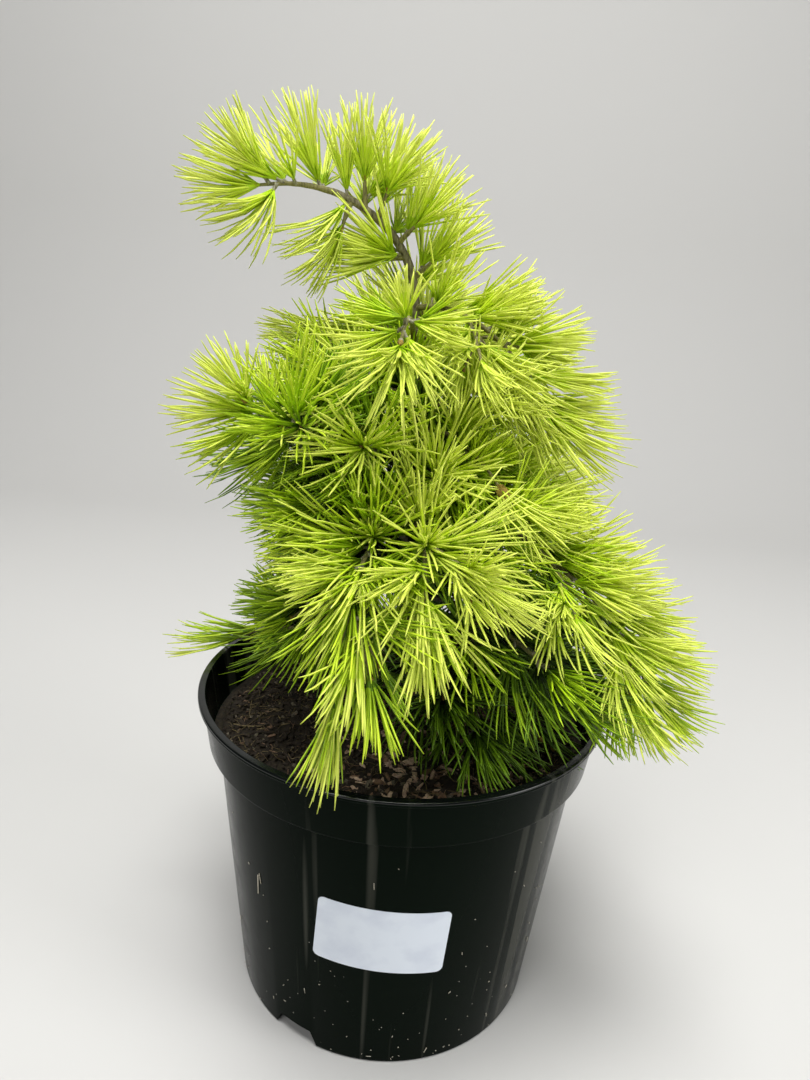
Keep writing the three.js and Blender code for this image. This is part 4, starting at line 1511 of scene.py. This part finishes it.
@dataclass
class Pot:
    """The nursery pot: a tapering body, a collar and a bead round the rim."""

    height: float = 170.0
    rim_radius: float = 106.0
    rim_bead: float = 3.0
    rim_width: float = 4.6
    # How wide the painted highlight along the rim's outer edge is
    rim_highlight_width: float = 2.4
    collar_top_radius: float = 103.6
    collar_foot_radius: float = 100.5
    collar_foot: float = 143.0
    body_top_radius: float = 95.5
    base_radius: float = 82.0
    wall: float = 1.6
    floor: float = 2.4
    outer_fillet: float = 1.1
    inner_fillet: float = 0.9
    sides: int = 192
    crease: float = 40.0
    soil_level: float = 150.0
    recesses: int = 3
    recess_bearing: float = -121.5
    recess_foot_half: float = 14.0
    recess_top_half: float = 9.6
    recess_height: float = 9.0
    recess_inner: float = 68.0
    recess_half_angle: float = 14.0
    drain_radius: float = 3.5
    drain_centre: float = 74.5
    drain_reach: tuple[float, float] = (4.0, 16.0)
    drain_sides: int = 24
    straws: tuple[Fleck, ...] = (Fleck(88.0, -135.0, 6.2, 0.34, 1.48), Fleck(93.0, -133.6, 3.0, 0.2, 1.7))
    flecks: int = 240
    fleck_band: tuple[float, float] = (3.0, 125.0)
    fleck_thinning: float = 2.8
    fleck_half: float = 0.25
    fleck_growth: float = 1.6
    fleck_few_long: float = 6.0
    fleck_radius: tuple[float, float] = (0.17, 0.1)
    fleck_seed: int = 577
    fleck_proud: float = 0.05
    fleck_clear: float = 4.0

    @classmethod
    def body_radius(cls, height: float) -> float:
        """Return the body's outer radius at a height below the collar."""
        return lerp(cls.base_radius, cls.body_top_radius, height / cls.collar_foot)

    @classmethod
    def clears(cls, points: np.ndarray, room: float) -> np.ndarray:
        """Tell which points clear the pot's rim and wall, and the soil in it.

        Args:
            points: The points.
            room: How clear they have to be.

        Returns:
            True for each point that passes.
        """
        out = np.hypot(points[:, 0], points[:, 1])
        inside = (points[:, 2] > cls.soil_level + room) & (out < cls.collar_foot_radius - cls.wall - room)
        return inside | (points[:, 2] > cls.height + room) | (out > cls.rim_radius + room)

    def bearings(self) -> list[float]:
        """Return the bearing of each drain recess, in radians."""
        return [math.radians(self.recess_bearing + 360 / self.recesses * i) for i in range(self.recesses)]

    def recess(self, grow: float) -> Stock:
        """Build the cutters for the drain recesses in the bottom edge.

        Args:
            grow: How far they are grown outwards.

        Returns:
            One wedge for each recess.
        """
        near, far = self.recess_inner - grow, self.rim_radius
        low, high = self.recess_foot_half + grow, self.recess_top_half + grow
        top, under = self.recess_height + grow, -2.0
        section = [(-low, under), (low, under), (high, top), (-high, top)]
        box = np.array([(out, side, z) for out in (near, far) for side, z in section])
        ends = [(3, 2, 1, 0), (4, 5, 6, 7)]
        walls = [(0, 1, 5, 4), (1, 2, 6, 5), (2, 3, 7, 6), (3, 0, 4, 7)]
        faces = np.array(ends + walls)
        cutters = Stock()
        for bearing in self.bearings():
            cutters.add(box @ np.array(Matrix.Rotation(bearing, 3, "Z")).T, [faces])
        return cutters

    def drains(self) -> Stock:
        """Build the cutters for the holes in the recesses' roofs."""
        cutters = Stock()
        low, high = self.drain_reach
        profile = [(0, low), (self.drain_radius, low), (self.drain_radius, high), (0, high)]
        pin, faces = turned(profile, self.drain_sides)
        for bearing in self.bearings():
            shift = np.array([math.cos(bearing), math.sin(bearing), 0]) * self.drain_centre
            cutters.add(pin + shift, faces)
        return cutters

    def outside(self) -> list[tuple[float, float]]:
        """Return the profile of the pot's outside, up its wall and over its rim."""
        rim = self.height - self.rim_bead
        return filleted([
            (0, 0), (self.base_radius - 0.4, 0), (self.body_top_radius, self.collar_foot),
            (self.collar_foot_radius, self.collar_foot + 0.6), (self.collar_top_radius, rim),
            (self.rim_radius, rim + 0.2), (self.rim_radius, self.height),
            (self.rim_radius - self.rim_width, self.height), (0, self.height),
        ], self.outer_fillet)

    def inside(self) -> list[tuple[float, float]]:
        """Return the profile of the pot's hollow, which ends above its rim."""
        ledge, mouth = self.collar_foot + self.wall, self.collar_top_radius - self.wall
        return filleted([
            (0, self.floor), (self.body_radius(self.floor) - self.wall, self.floor),
            (self.body_top_radius - self.wall, ledge), (self.collar_foot_radius - self.wall, ledge + 0.4),
            (mouth, self.height - 0.8), (mouth + 0.8, self.height + 1), (0, self.height + 1),
        ], self.inner_fillet)

    def build(self) -> None:
        """Make the pot in place of its solid, and dress it."""
        plastic = MouldedPolypropylene("moulded_polypropylene")
        body = self.cast_turned("nursery_pot", self.outside(), plastic)
        hollow = self.cast_turned("pot_hollow", self.inside(), plastic)
        self.cut(hollow, self.recess(self.wall).cast("recess_walls", [plastic]))
        self.cut(body, hollow)
        self.cut(body, self.recess(0).cast("recess_mouths", [plastic]))
        self.cut(body, self.drains().cast("drain_pins", [plastic]))
        body.data.shade_smooth()
        body.data.set_sharp_from_angle(angle=math.radians(self.crease))
        # Paint a highlight along the rim's outer edge
        self.paint_rim_highlight(body)
        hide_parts("pot")
        self.add_flecks()

    def paint_rim_highlight(self, body: bpy.types.Object) -> None:
        """Give the outer edge of the rim's top a painted highlight: a slightly lighter colour, with more
        gloss to take the lamps' reflection.

        Args:
            body: The pot.
        """
        # Painted highlight on the rim's edge: a lighter colour than the pot's, and more gloss
        rim_highlight = MouldedPolypropylene("rim_highlight_polypropylene", body="#0b0f0d", gloss=0.5)
        body.data.materials.append(rim_highlight.material())
        low, near = (self.height - 1.0) * MM, (self.rim_radius - self.rim_highlight_width) * MM
        for face in body.data.polygons:
            if face.center.z > low and math.hypot(*face.center[:2]) > near:
                face.material_index = len(body.data.materials) - 1

    def add_flecks(self) -> None:
        """Stick dried flecks of fibre to the wall, most of them near its foot."""
        draw = Draws(self.fleck_seed)
        low, band = self.fleck_band
        flecks = list(self.straws)
        for _ in range(self.flecks):
            height, bearing = low + band * draw() ** self.fleck_thinning, 360 * draw()
            half = self.fleck_half + self.fleck_growth * draw() ** self.fleck_few_long
            flecks.append(Fleck(height, bearing, half, draw.near(*self.fleck_radius), math.pi * draw()))
        stock = Stock()
        for fleck in flecks:
            base = heading(fleck.bearing, 0)
            side, up = Vector((-base.y, base.x, 0)), Vector((0, 0, 1))
            level = math.cos(fleck.lean)
            rise = (side * level + up * math.sin(fleck.lean)).z
            line = []
            for run in (-fleck.half, 0.0, fleck.half):
                z = fleck.height + run * rise
                line.append(base * (self.body_radius(z) + self.fleck_proud) + side * run * level + up * z)
            if self.is_wall(fleck.height, fleck.bearing) and not Label.covers(line[1]):
                stock.add(*tube(Line(line), lambda run: fleck.radius, 5, smooth))
        made = stock.cast("dried_flecks", [CompostedBark("dried_fibre", "#a29a86", "#dcd6c6", 0.8, 0.9)])

    def is_wall(self, height: float, bearing: float) -> bool:
        """Tell whether the wall is whole at a place.

        Args:
            height: How high the place is.
            bearing: Its bearing in degrees.

        Returns:
            True where it is clear of the drain recesses.
        """
        gap = 360 / self.recesses
        apart = (bearing - self.recess_bearing + gap / 2) % gap - gap / 2
        return height > self.recess_height + self.fleck_clear or abs(apart) > self.recess_half_angle

    def cast_turned(self, name: str, profile: list[tuple[float, float]], finish: Finish) -> bpy.types.Object:
        """Turn a profile into a piece with a fine round.

        Args:
            name: The piece's name.
            profile: Its profile, by radius and height.
            finish: Its finish.

        Returns:
            The piece.
        """
        stock = Stock()
        stock.add(*turned(profile, self.sides))
        return stock.cast(name, [finish])

    def cut(self, body: bpy.types.Object, cutter: bpy.types.Object) -> None:
        """Take one piece's shape out of another.

        Args:
            body: The piece that is cut.
            cutter: The piece whose shape is taken out, which is then removed.
        """
        step = body.modifiers.new("cut", "BOOLEAN")
        step.object = cutter
        step.solver = "EXACT"
        whole = body.evaluated_get(bpy.context.evaluated_depsgraph_get())
        carved = bpy.data.meshes.new_from_object(whole)
        body.modifiers.clear()
        body.data = carved
        bpy.data.objects.remove(cutter)


@dataclass
class Label:
    """The blank label on the pot's front, a little askew."""

    width: float = 62.2
    height: float = 38.1
    corner: float = 3.0
    centre: tuple[float, float] = (-2.0, 83.0)
    tilt: float = -3.2
    thick: float = 0.22
    proud: float = 0.04
    rows: int = 40
    columns: int = 48
    clear_beside: float = 2.0
    clear_above: float = 4.0
    crease: float = 40.0

    @classmethod
    def covers(cls, point: Vector) -> bool:
        """Tell whether a point of the pot's wall lies under the label or close to it."""
        beside = abs(point.x - cls.centre[0]) < cls.width / 2 + cls.clear_beside
        return beside and abs(point.z - cls.centre[1]) < cls.height / 2 + cls.clear_above and point.y < 0

    def build(self) -> None:
        """Make the label in place of its solid, and dress it."""
        half = self.height / 2
        levels = []
        for i in range(self.rows + 1):
            v = -half * math.cos(math.pi * i / self.rows)
            inset = max(0.0, self.corner - (half - abs(v)))
            levels.append((v, self.width / 2 - self.corner + math.sqrt(self.corner**2 - inset**2)))
        turn = math.radians(self.tilt)
        skins = []
        for out in (self.proud, self.proud + self.thick):
            for v, reach in levels:
                for j in range(self.columns + 1):
                    u = reach * (2 * j / self.columns - 1)
                    x = self.centre[0] + u * math.cos(turn) - v * math.sin(turn)
                    z = self.centre[1] + u * math.sin(turn) + v * math.cos(turn)
                    radius = Pot.body_radius(z) + out
                    skins.append((x, -math.sqrt(radius**2 - x**2), z))
        wide, size = self.columns + 1, (self.columns + 1) * (self.rows + 1)
        first = [i * wide + j for i in range(self.rows) for j in range(self.columns)]
        face = np.array([(a, a + 1, a + wide + 1, a + wide) for a in first])
        edge = [*range(wide), *range(2 * wide - 1, size, wide), *range(size - 2, size - wide - 1, -1)]
        edge += range(size - 2 * wide, 0, -wide)
        rim = [(a, b, b + size, a + size) for a, b in zip(edge, edge[1:] + edge[:1])]
        stock = Stock()
        stock.add(np.array(skins), [face[:, ::-1], face + size, np.array(rim)])
        made = stock.cast("blank_label", [SelfAdhesivePaper("self_adhesive_paper")], self.crease)
        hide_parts("label")


class Litter(IntEnum):
    """What lies on the compost, by the number of its finish."""

    DARK = 0
    BROWN = 1
    TAN = 2
    GREY = 3
    FIBRE = 4


@dataclass
class Compost:
    """The compost: a rough top of crumbs, chips of bark and loose fibres.

    A level is how far out it starts and how much lower it lies. Any other pair is
    the middle of what is drawn and how widely it is spread, save two kinds: a bevel
    is what is left of a chip's length and width at its top, and tan or brown chips
    have their share everywhere and how many more there are at the front.
    """

    edge: float = 144.5
    levels: tuple[tuple[float, float], ...] = ((14.0, 0.0), (44.0, 1.5), (70.0, 3.0))
    lump: float = 1.3
    lump_width: float = 9.0
    lump_length: float = 11.0
    coarse_size: float = 5.0
    coarse_rise: float = 1.1
    fine_size: float = 1.7
    fine_rise: float = 0.7
    smooth_middle: float = 12.0
    gap: float = 0.3
    wall_gap: float = 0.5
    rings: int = 96
    sides: int = 320
    any_way: float = 6.3
    crumbs: int = 3600
    crumb_clear: float = 2.5
    crumb_size: tuple[float, float] = (1.0, 1.2)
    crumb_corner: tuple[float, float] = (1.0, 0.7)
    crumb_lift: float = 0.3
    dark_crumbs: float = 0.8
    chips: int = 1700
    chip_sides: int = 7
    chip_clear: float = 7.0
    chip_length: tuple[float, float] = (4.6, 5.0)
    front_length: float = 9.0
    chip_slimness: tuple[float, float] = (0.34, 0.26)
    chip_thickness: tuple[float, float] = (0.9, 0.8)
    chip_outline: tuple[float, float] = (0.9, 0.45)
    chip_bevel: tuple[float, float] = (0.92, 0.86)
    chip_face: float = 0.3
    chip_crown: float = 0.15
    chip_roll: float = 1.0
    chip_pitch: float = 1.6
    chip_lift: float = 0.9
    pale_start: float = 20.0
    pale_depth: float = 90.0
    pale_middle: float = 8.0
    pale_half: float = 75.0
    # How much darker the compost gets towards the left, and over what width
    left_darkest: float = 0.9
    left_dark_width: float = 50.0
    grey_from: float = 0.94
    grey_fewer_left: float = 0.05
    tan_chips: tuple[float, float] = (0.05, 0.55)
    brown_chips: tuple[float, float] = (0.4, 0.5)
    fibres: int = 1900
    fibre_clear: float = 7.0
    fibre_points: int = 4
    fibre_step: tuple[float, float] = (1.7, 1.6)
    fibre_curl: float = 0.7
    fibre_radius: tuple[float, float] = (0.18, 0.14)
    fibre_lift: tuple[float, float] = (1.4, 1.4)
    pale_fibres: float = 0.55
    brown_fibres: float = 0.3
    straws: float = 0.03
    straw_clear: float = 14.0
    straw_step: tuple[float, float] = (5.5, 3.0)
    straw_curl: float = 0.1
    straw_radius: float = 0.34
    seed: int = 911
    crease: float = 35.0

    def wall_radius(self) -> float:
        """Return how far out the top reaches, just clear of the pot's wall."""
        return Pot.collar_foot_radius - Pot.wall - self.wall_gap

    def top(self, x: float, y: float) -> float:
        """Work out the height of the compost's rough top.

        Args:
            x: The place's distance right of the pot's middle.
            y: Its distance behind it.

        Returns:
            The height there.
        """
        out = math.hypot(x, y)
        steps = [(0.0, 0.0), *self.levels, (self.wall_radius(), Pot.soil_level - self.edge)]
        drop = steps[-1][1]
        for (near, less), (far, more) in zip(steps, steps[1:]):
            if near <= out <= far:
                drop = lerp(less, more, (out - near) / (far - near))
        level = Pot.soil_level - self.gap - drop
        if out > self.levels[0][0]:
            level += self.lump * math.sin(x / self.lump_width + 1) * math.cos(y / self.lump_length)
        coarse = noise.noise(Vector((x / self.coarse_size, y / self.coarse_size, 0)))
        fine = noise.noise(Vector((x / self.fine_size, y / self.fine_size, 4)))
        rough = coarse * self.coarse_rise + fine * self.fine_rise
        return level + rough * min(1.0, out / self.smooth_middle)

    def build(self) -> None:
        """Make the body of compost in place of its solid, then what lies on it."""
        rim = self.wall_radius()
        angle = 2 * np.pi * np.arange(self.sides) / self.sides
        corners = [(0.0, 0.0, self.top(0, 0))]
        for i in range(1, self.rings + 1):
            out = rim * i / self.rings
            places = [(out * math.cos(a), out * math.sin(a)) for a in angle]
            corners += [(x, y, self.top(x, y)) for x, y in places]
        inner, shoulder = Pot.wall + 0.4, Pot.collar_foot + Pot.wall
        hub, foot = Pot.recess_inner - 3, Pot.floor + self.gap
        under = [
            (rim, shoulder + 0.7), (Pot.body_top_radius - inner, shoulder + 0.3),
            (Pot.body_top_radius - inner, Pot.collar_foot - 1), (Pot.body_radius(30) - inner, 30.0),
            (hub, 29.0), (hub, foot),
        ]
        for out, z in under:
            corners += [(out * math.cos(a), out * math.sin(a), z) for a in angle]
        corners.append((0.0, 0.0, foot))
        k = np.arange(self.sides)
        after = (k + 1) % self.sides
        last = len(corners) - 1 - self.sides
        first = np.arange(1, last, self.sides)[:, None]
        walls = np.stack([first + k, first + self.sides + k, first + self.sides + after, first + after], -1)
        middle = np.stack([np.zeros_like(k), 1 + k, 1 + after], -1)
        base = np.stack([np.full(self.sides, len(corners) - 1), last + after, last + k], -1)
        stock = Stock()
        stock.add(np.array(corners), [walls.reshape(-1, 4), middle, base])
        crumb = CompostedBark("composted_bark_crumb", "#17120b", "#352c1b", 2.2, 0.86)
        made = stock.cast("compost", [crumb])
        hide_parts("soil")
        self.build_litter()

    def place(self, draw: Draws, clear: float) -> tuple[float, float]:
        """Draw a place on the top, evenly spread.

        Args:
            draw: The litter's run of draws.
            clear: How far inside the wall it stays.

        Returns:
            Its distance right of the pot's middle and behind it.
        """
        out = (self.wall_radius() - clear) * math.sqrt(draw())
        bearing = 2 * math.pi * draw()
        return out * math.cos(bearing), out * math.sin(bearing)

    def build_litter(self) -> None:
        """Make the crumbs, chips and fibres that lie on the top."""
        finishes = {
            Litter.DARK: CompostedBark("bark_chip_dark", "#1a140b", "#3d3121", 1.2, 0.8),
            Litter.BROWN: CompostedBark("bark_chip_brown", "#5e4834", "#9e7e62", 1.4, 0.75),
            Litter.TAN: CompostedBark("bark_chip_tan", "#aa8a70", "#efd2b4", 1.6, 0.7),
            Litter.GREY: CompostedBark("bark_chip_grey", "#4a4437", "#857b68", 1.4, 0.85),
            Litter.FIBRE: CompostedBark("peat_fibre", "#4f452d", "#84744f", 1.0, 0.85),
        }
        draw, stock = Draws(self.seed), Stock()
        litter = ((self.crumbs, self.add_crumb), (self.chips, self.add_chip), (self.fibres, self.add_fibre))
        for count, add_one in litter:
            for _ in range(count):
                add_one(stock, draw)
        made = stock.cast("bark_chips_and_fibres", [finishes[kind] for kind in Litter], self.crease)

    def add_crumb(self, stock: Stock, draw: Draws) -> None:
        """Add one crumb: a rough lump of eight faces.

        Args:
            stock: What the litter is gathered in.
            draw: The litter's run of draws.
        """
        x, y = self.place(draw, self.crumb_clear)
        size = draw.near(*self.crumb_size)
        ways = [(1, 0, 0), (0, 1, 0), (-1, 0, 0), (0, -1, 0), (0, 0, 1), (0, 0, -1)]
        corners = np.array([np.array(way) * size * draw.near(*self.crumb_corner) for way in ways])
        upper = [(0, 1, 4), (1, 2, 4), (2, 3, 4), (3, 0, 4)]
        lower = [(1, 0, 5), (2, 1, 5), (3, 2, 5), (0, 3, 5)]
        faces = np.array(upper + lower)
        turn = Matrix.Rotation(draw() * self.any_way, 3, Vector((draw(), draw(), draw() + 0.1)))
        kind = Litter.DARK if draw() < self.dark_crumbs else Litter.GREY
        lift = self.top(x, y) + size * self.crumb_lift
        stock.add(corners @ np.array(turn).T + (x, y, lift), [faces], kind)

    def chip_kind(self, draw: Draws, front: float, damp: float) -> Litter:
        """Draw a chip's kind: pale ones lie at the front, and fewer of them towards the left.

        Args:
            draw: The litter's run of draws.
            front: How near the front it lies, from 0 to 1.
            damp: How far towards the left it lies, from 0 to 1; the further, the fewer pale and grey chips.

        Returns:
            The kind.
        """
        pick, grey = draw(), draw() > self.grey_from + self.grey_fewer_left * damp
        if grey:
            return Litter.GREY
        few, more = self.tan_chips
        if pick < (few + more * front) * (1 - damp):
            return Litter.TAN
        few, more = self.brown_chips
        return Litter.BROWN if pick < (few + more * front) * (1 - damp) else Litter.DARK

    def add_chip(self, stock: Stock, draw: Draws) -> None:
        """Add one flat chip of bark with a broken outline, tilted as it fell.

        Args:
            stock: What the litter is gathered in.
            draw: The litter's run of draws.
        """
        x, y = self.place(draw, self.chip_clear)
        front = max(0.0, min(1.0, (self.pale_start - y) / self.pale_depth))
        front *= max(0.0, 1 - abs(x - self.pale_middle) / self.pale_half)
        long = draw.near(*self.chip_length) + self.front_length * front * draw() ** 2
        wide, thick = long * draw.near(*self.chip_slimness), draw.near(*self.chip_thickness)
        outline = []
        for k in range(self.chip_sides):
            angle = 2 * math.pi * k / self.chip_sides
            share = draw.near(*self.chip_outline)
            outline.append((long / 2 * share * math.cos(angle), wide / 2 * share * math.sin(angle)))
        bottom = [(u, v, -thick / 2) for u, v in outline]
        long_left, wide_left = self.chip_bevel
        top = [(u * long_left, v * wide_left, thick / 2 + draw.near(0, self.chip_face)) for u, v in outline]
        corners = np.array([*bottom, *top, (0, 0, -thick / 2), (0, 0, thick / 2 + self.chip_crown)])
        turn = Matrix.Rotation(draw() * self.any_way, 3, "Z")
        turn = turn @ Matrix.Rotation(draw.near(0, self.chip_roll), 3, "Y")
        turn = turn @ Matrix.Rotation(draw.near(0, self.chip_pitch), 3, "X")
        lift = self.top(x, y) + self.chip_lift + thick * 0.3
        # Fewer pale chips towards the pot's left, so the compost is darker there
        kind = self.chip_kind(draw, front, max(0.0, min(self.left_darkest, -x / self.left_dark_width)))
        stock.add(corners @ np.array(turn).T + (x, y, lift), shell(2, self.chip_sides), kind)

    def add_fibre(self, stock: Stock, draw: Draws) -> None:
        """Add one loose fibre, or now and then a straw, that lies in a soft curve.

        Args:
            stock: What the litter is gathered in.
            draw: The litter's run of draws.
        """
        straw = draw() < self.straws
        x, y = self.place(draw, self.straw_clear if straw else self.fibre_clear)
        bearing = draw() * self.any_way
        curl = draw.near(0, self.straw_curl if straw else self.fibre_curl)
        step = draw.near(*(self.straw_step if straw else self.fibre_step))
        radius = self.straw_radius if straw else draw.near(*self.fibre_radius)
        points = []
        for _ in range(self.fibre_points):
            points.append(Vector((x, y, self.top(x, y) + draw.near(*self.fibre_lift))))
            x, y = x + step * math.cos(bearing), y + step * math.sin(bearing)
            bearing += curl
        if straw or draw() < self.pale_fibres:
            kind = Litter.FIBRE
        else:
            kind = Litter.BROWN if draw() < self.brown_fibres else Litter.DARK
        if math.hypot(x, y) < self.wall_radius() - 1:
            stock.add(*tube(Line(points), lambda run: radius, 3, smooth), kind)


@dataclass(frozen=True)
class Panel:
    """One soft light: its name, its place in millimetres, its width and height in
    metres, and its power in watts."""

    name: str
    place: tuple[float, float, float]
    size: tuple[float, float]
    watts: float


@dataclass
class Studio:
    """The pale backdrop, the soft lights and the camera, which stands where the
    photograph's stood and is rolled as it was."""

    eye: tuple[float, float, float] = (-3.6, -391.0, 373.8)
    right: tuple[float, float, float] = (0.9976149, 0.0208619, 0.0657973)
    up: tuple[float, float, float] = (-0.0690254, 0.3015139, 0.95096)
    lens: float = 27.03
    sensor: float = 36.0
    near_clip: float = 10.0
    floor: float = -0.3
    floor_front: float = -1800.0
    sweep_start: float = 900.0
    sweep_radius: float = 500.0
    sweep_steps: int = 12
    wall_top: float = 2600.0
    half_width: float = 2400.0
    aim: tuple[float, float, float] = (0.0, 0.0, 260.0)
    sky: str = "#dfe4e8"
    sky_strength: float = 0.05
    panels: tuple[Panel, ...] = (
        Panel("sky", (-100, -350, 2000), (0.9, 0.9), 42),
        Panel("front", (-700, -1500, 1700), (0.9, 0.9), 12),
        Panel("side", (1700, -700, 1000), (0.8, 1.4), 16),
    )

    def place(self, name: str, data: bpy.types.ID) -> bpy.types.Object:
        """Put a camera, a light or a mesh in the scene.

        Args:
            name: The object's name.
            data: What it holds.

        Returns:
            The object.
        """
        made = bpy.data.objects.new(name, data)
        bpy.context.scene.collection.objects.link(made)
        return made

    def build_camera(self) -> None:
        """Set the camera up."""
        data = bpy.data.cameras.new("camera")
        data.lens, data.sensor_width, data.clip_start = self.lens, self.sensor, self.near_clip * MM
        right, up = Vector(self.right), Vector(self.up)
        turn = Matrix((right, up, right.cross(up))).transposed()
        camera = self.place("camera", data)
        camera.matrix_world = Matrix.Translation(Vector(self.eye) * MM) @ turn.to_4x4()
        bpy.context.scene.camera = camera

    def build_backdrop(self) -> None:
        """Make a pale floor that sweeps up behind the plant."""
        profile = [(self.floor_front, self.floor), (self.sweep_start, self.floor)]
        for i in range(1, self.sweep_steps + 1):
            angle = math.pi / 2 * i / self.sweep_steps
            back, rise = self.sweep_radius * math.sin(angle), self.sweep_radius * (1 - math.cos(angle))
            profile.append((self.sweep_start + back, self.floor + rise))
        profile.append((self.sweep_start + self.sweep_radius, self.wall_top))
        corners = [(x * MM, y * MM, z * MM) for y, z in profile for x in (-self.half_width, self.half_width)]
        faces = [(2 * i, 2 * i + 1, 2 * i + 3, 2 * i + 2) for i in range(len(profile) - 1)]
        mesh = bpy.data.meshes.new("backdrop")
        mesh.from_pydata(corners, [], faces)
        mesh.shade_smooth()
        mesh.materials.append(StudioPaper("studio_paper").material())
        self.place("backdrop", mesh)

    def build_lights(self) -> None:
        """Light the plant as from a bright, even sky above and in front of it."""
        for panel in self.panels:
            data = bpy.data.lights.new(panel.name, "AREA")
            data.shape = "RECTANGLE"
            data.size, data.size_y = panel.size
            data.energy = panel.watts
            lamp = self.place(panel.name, data)
            lamp.location = Vector(panel.place) * MM
            towards = Vector(self.aim) * MM - lamp.location
            lamp.rotation_euler = towards.to_track_quat("-Z", "Y").to_euler()
        world = bpy.data.worlds.new("even_light")
        world.use_nodes = True
        even = world.node_tree.nodes["Background"]
        feed(even, {"Color": linear(self.sky), "Strength": self.sky_strength}, {})
        bpy.context.scene.world = world
        bpy.context.scene.view_settings.view_transform = "Standard"


def main() -> None:
    """Build every sub-assembly in order; each piece's face count is logged as it is made."""
    logging.basicConfig(level=logging.INFO, format="%(message)s")
    studio = Studio()
    studio.build_camera()
    studio.build_backdrop()
    studio.build_lights()
    Pot().build()
    Label().build()
    Compost().build()
    cedar = Cedar()
    cedar.build_limbs()
    cedar.build_twigs()
    foliage = Foliage(cedar)
    foliage.build_needles()
    foliage.build_spurs()


if __name__ == "__main__":
    main()
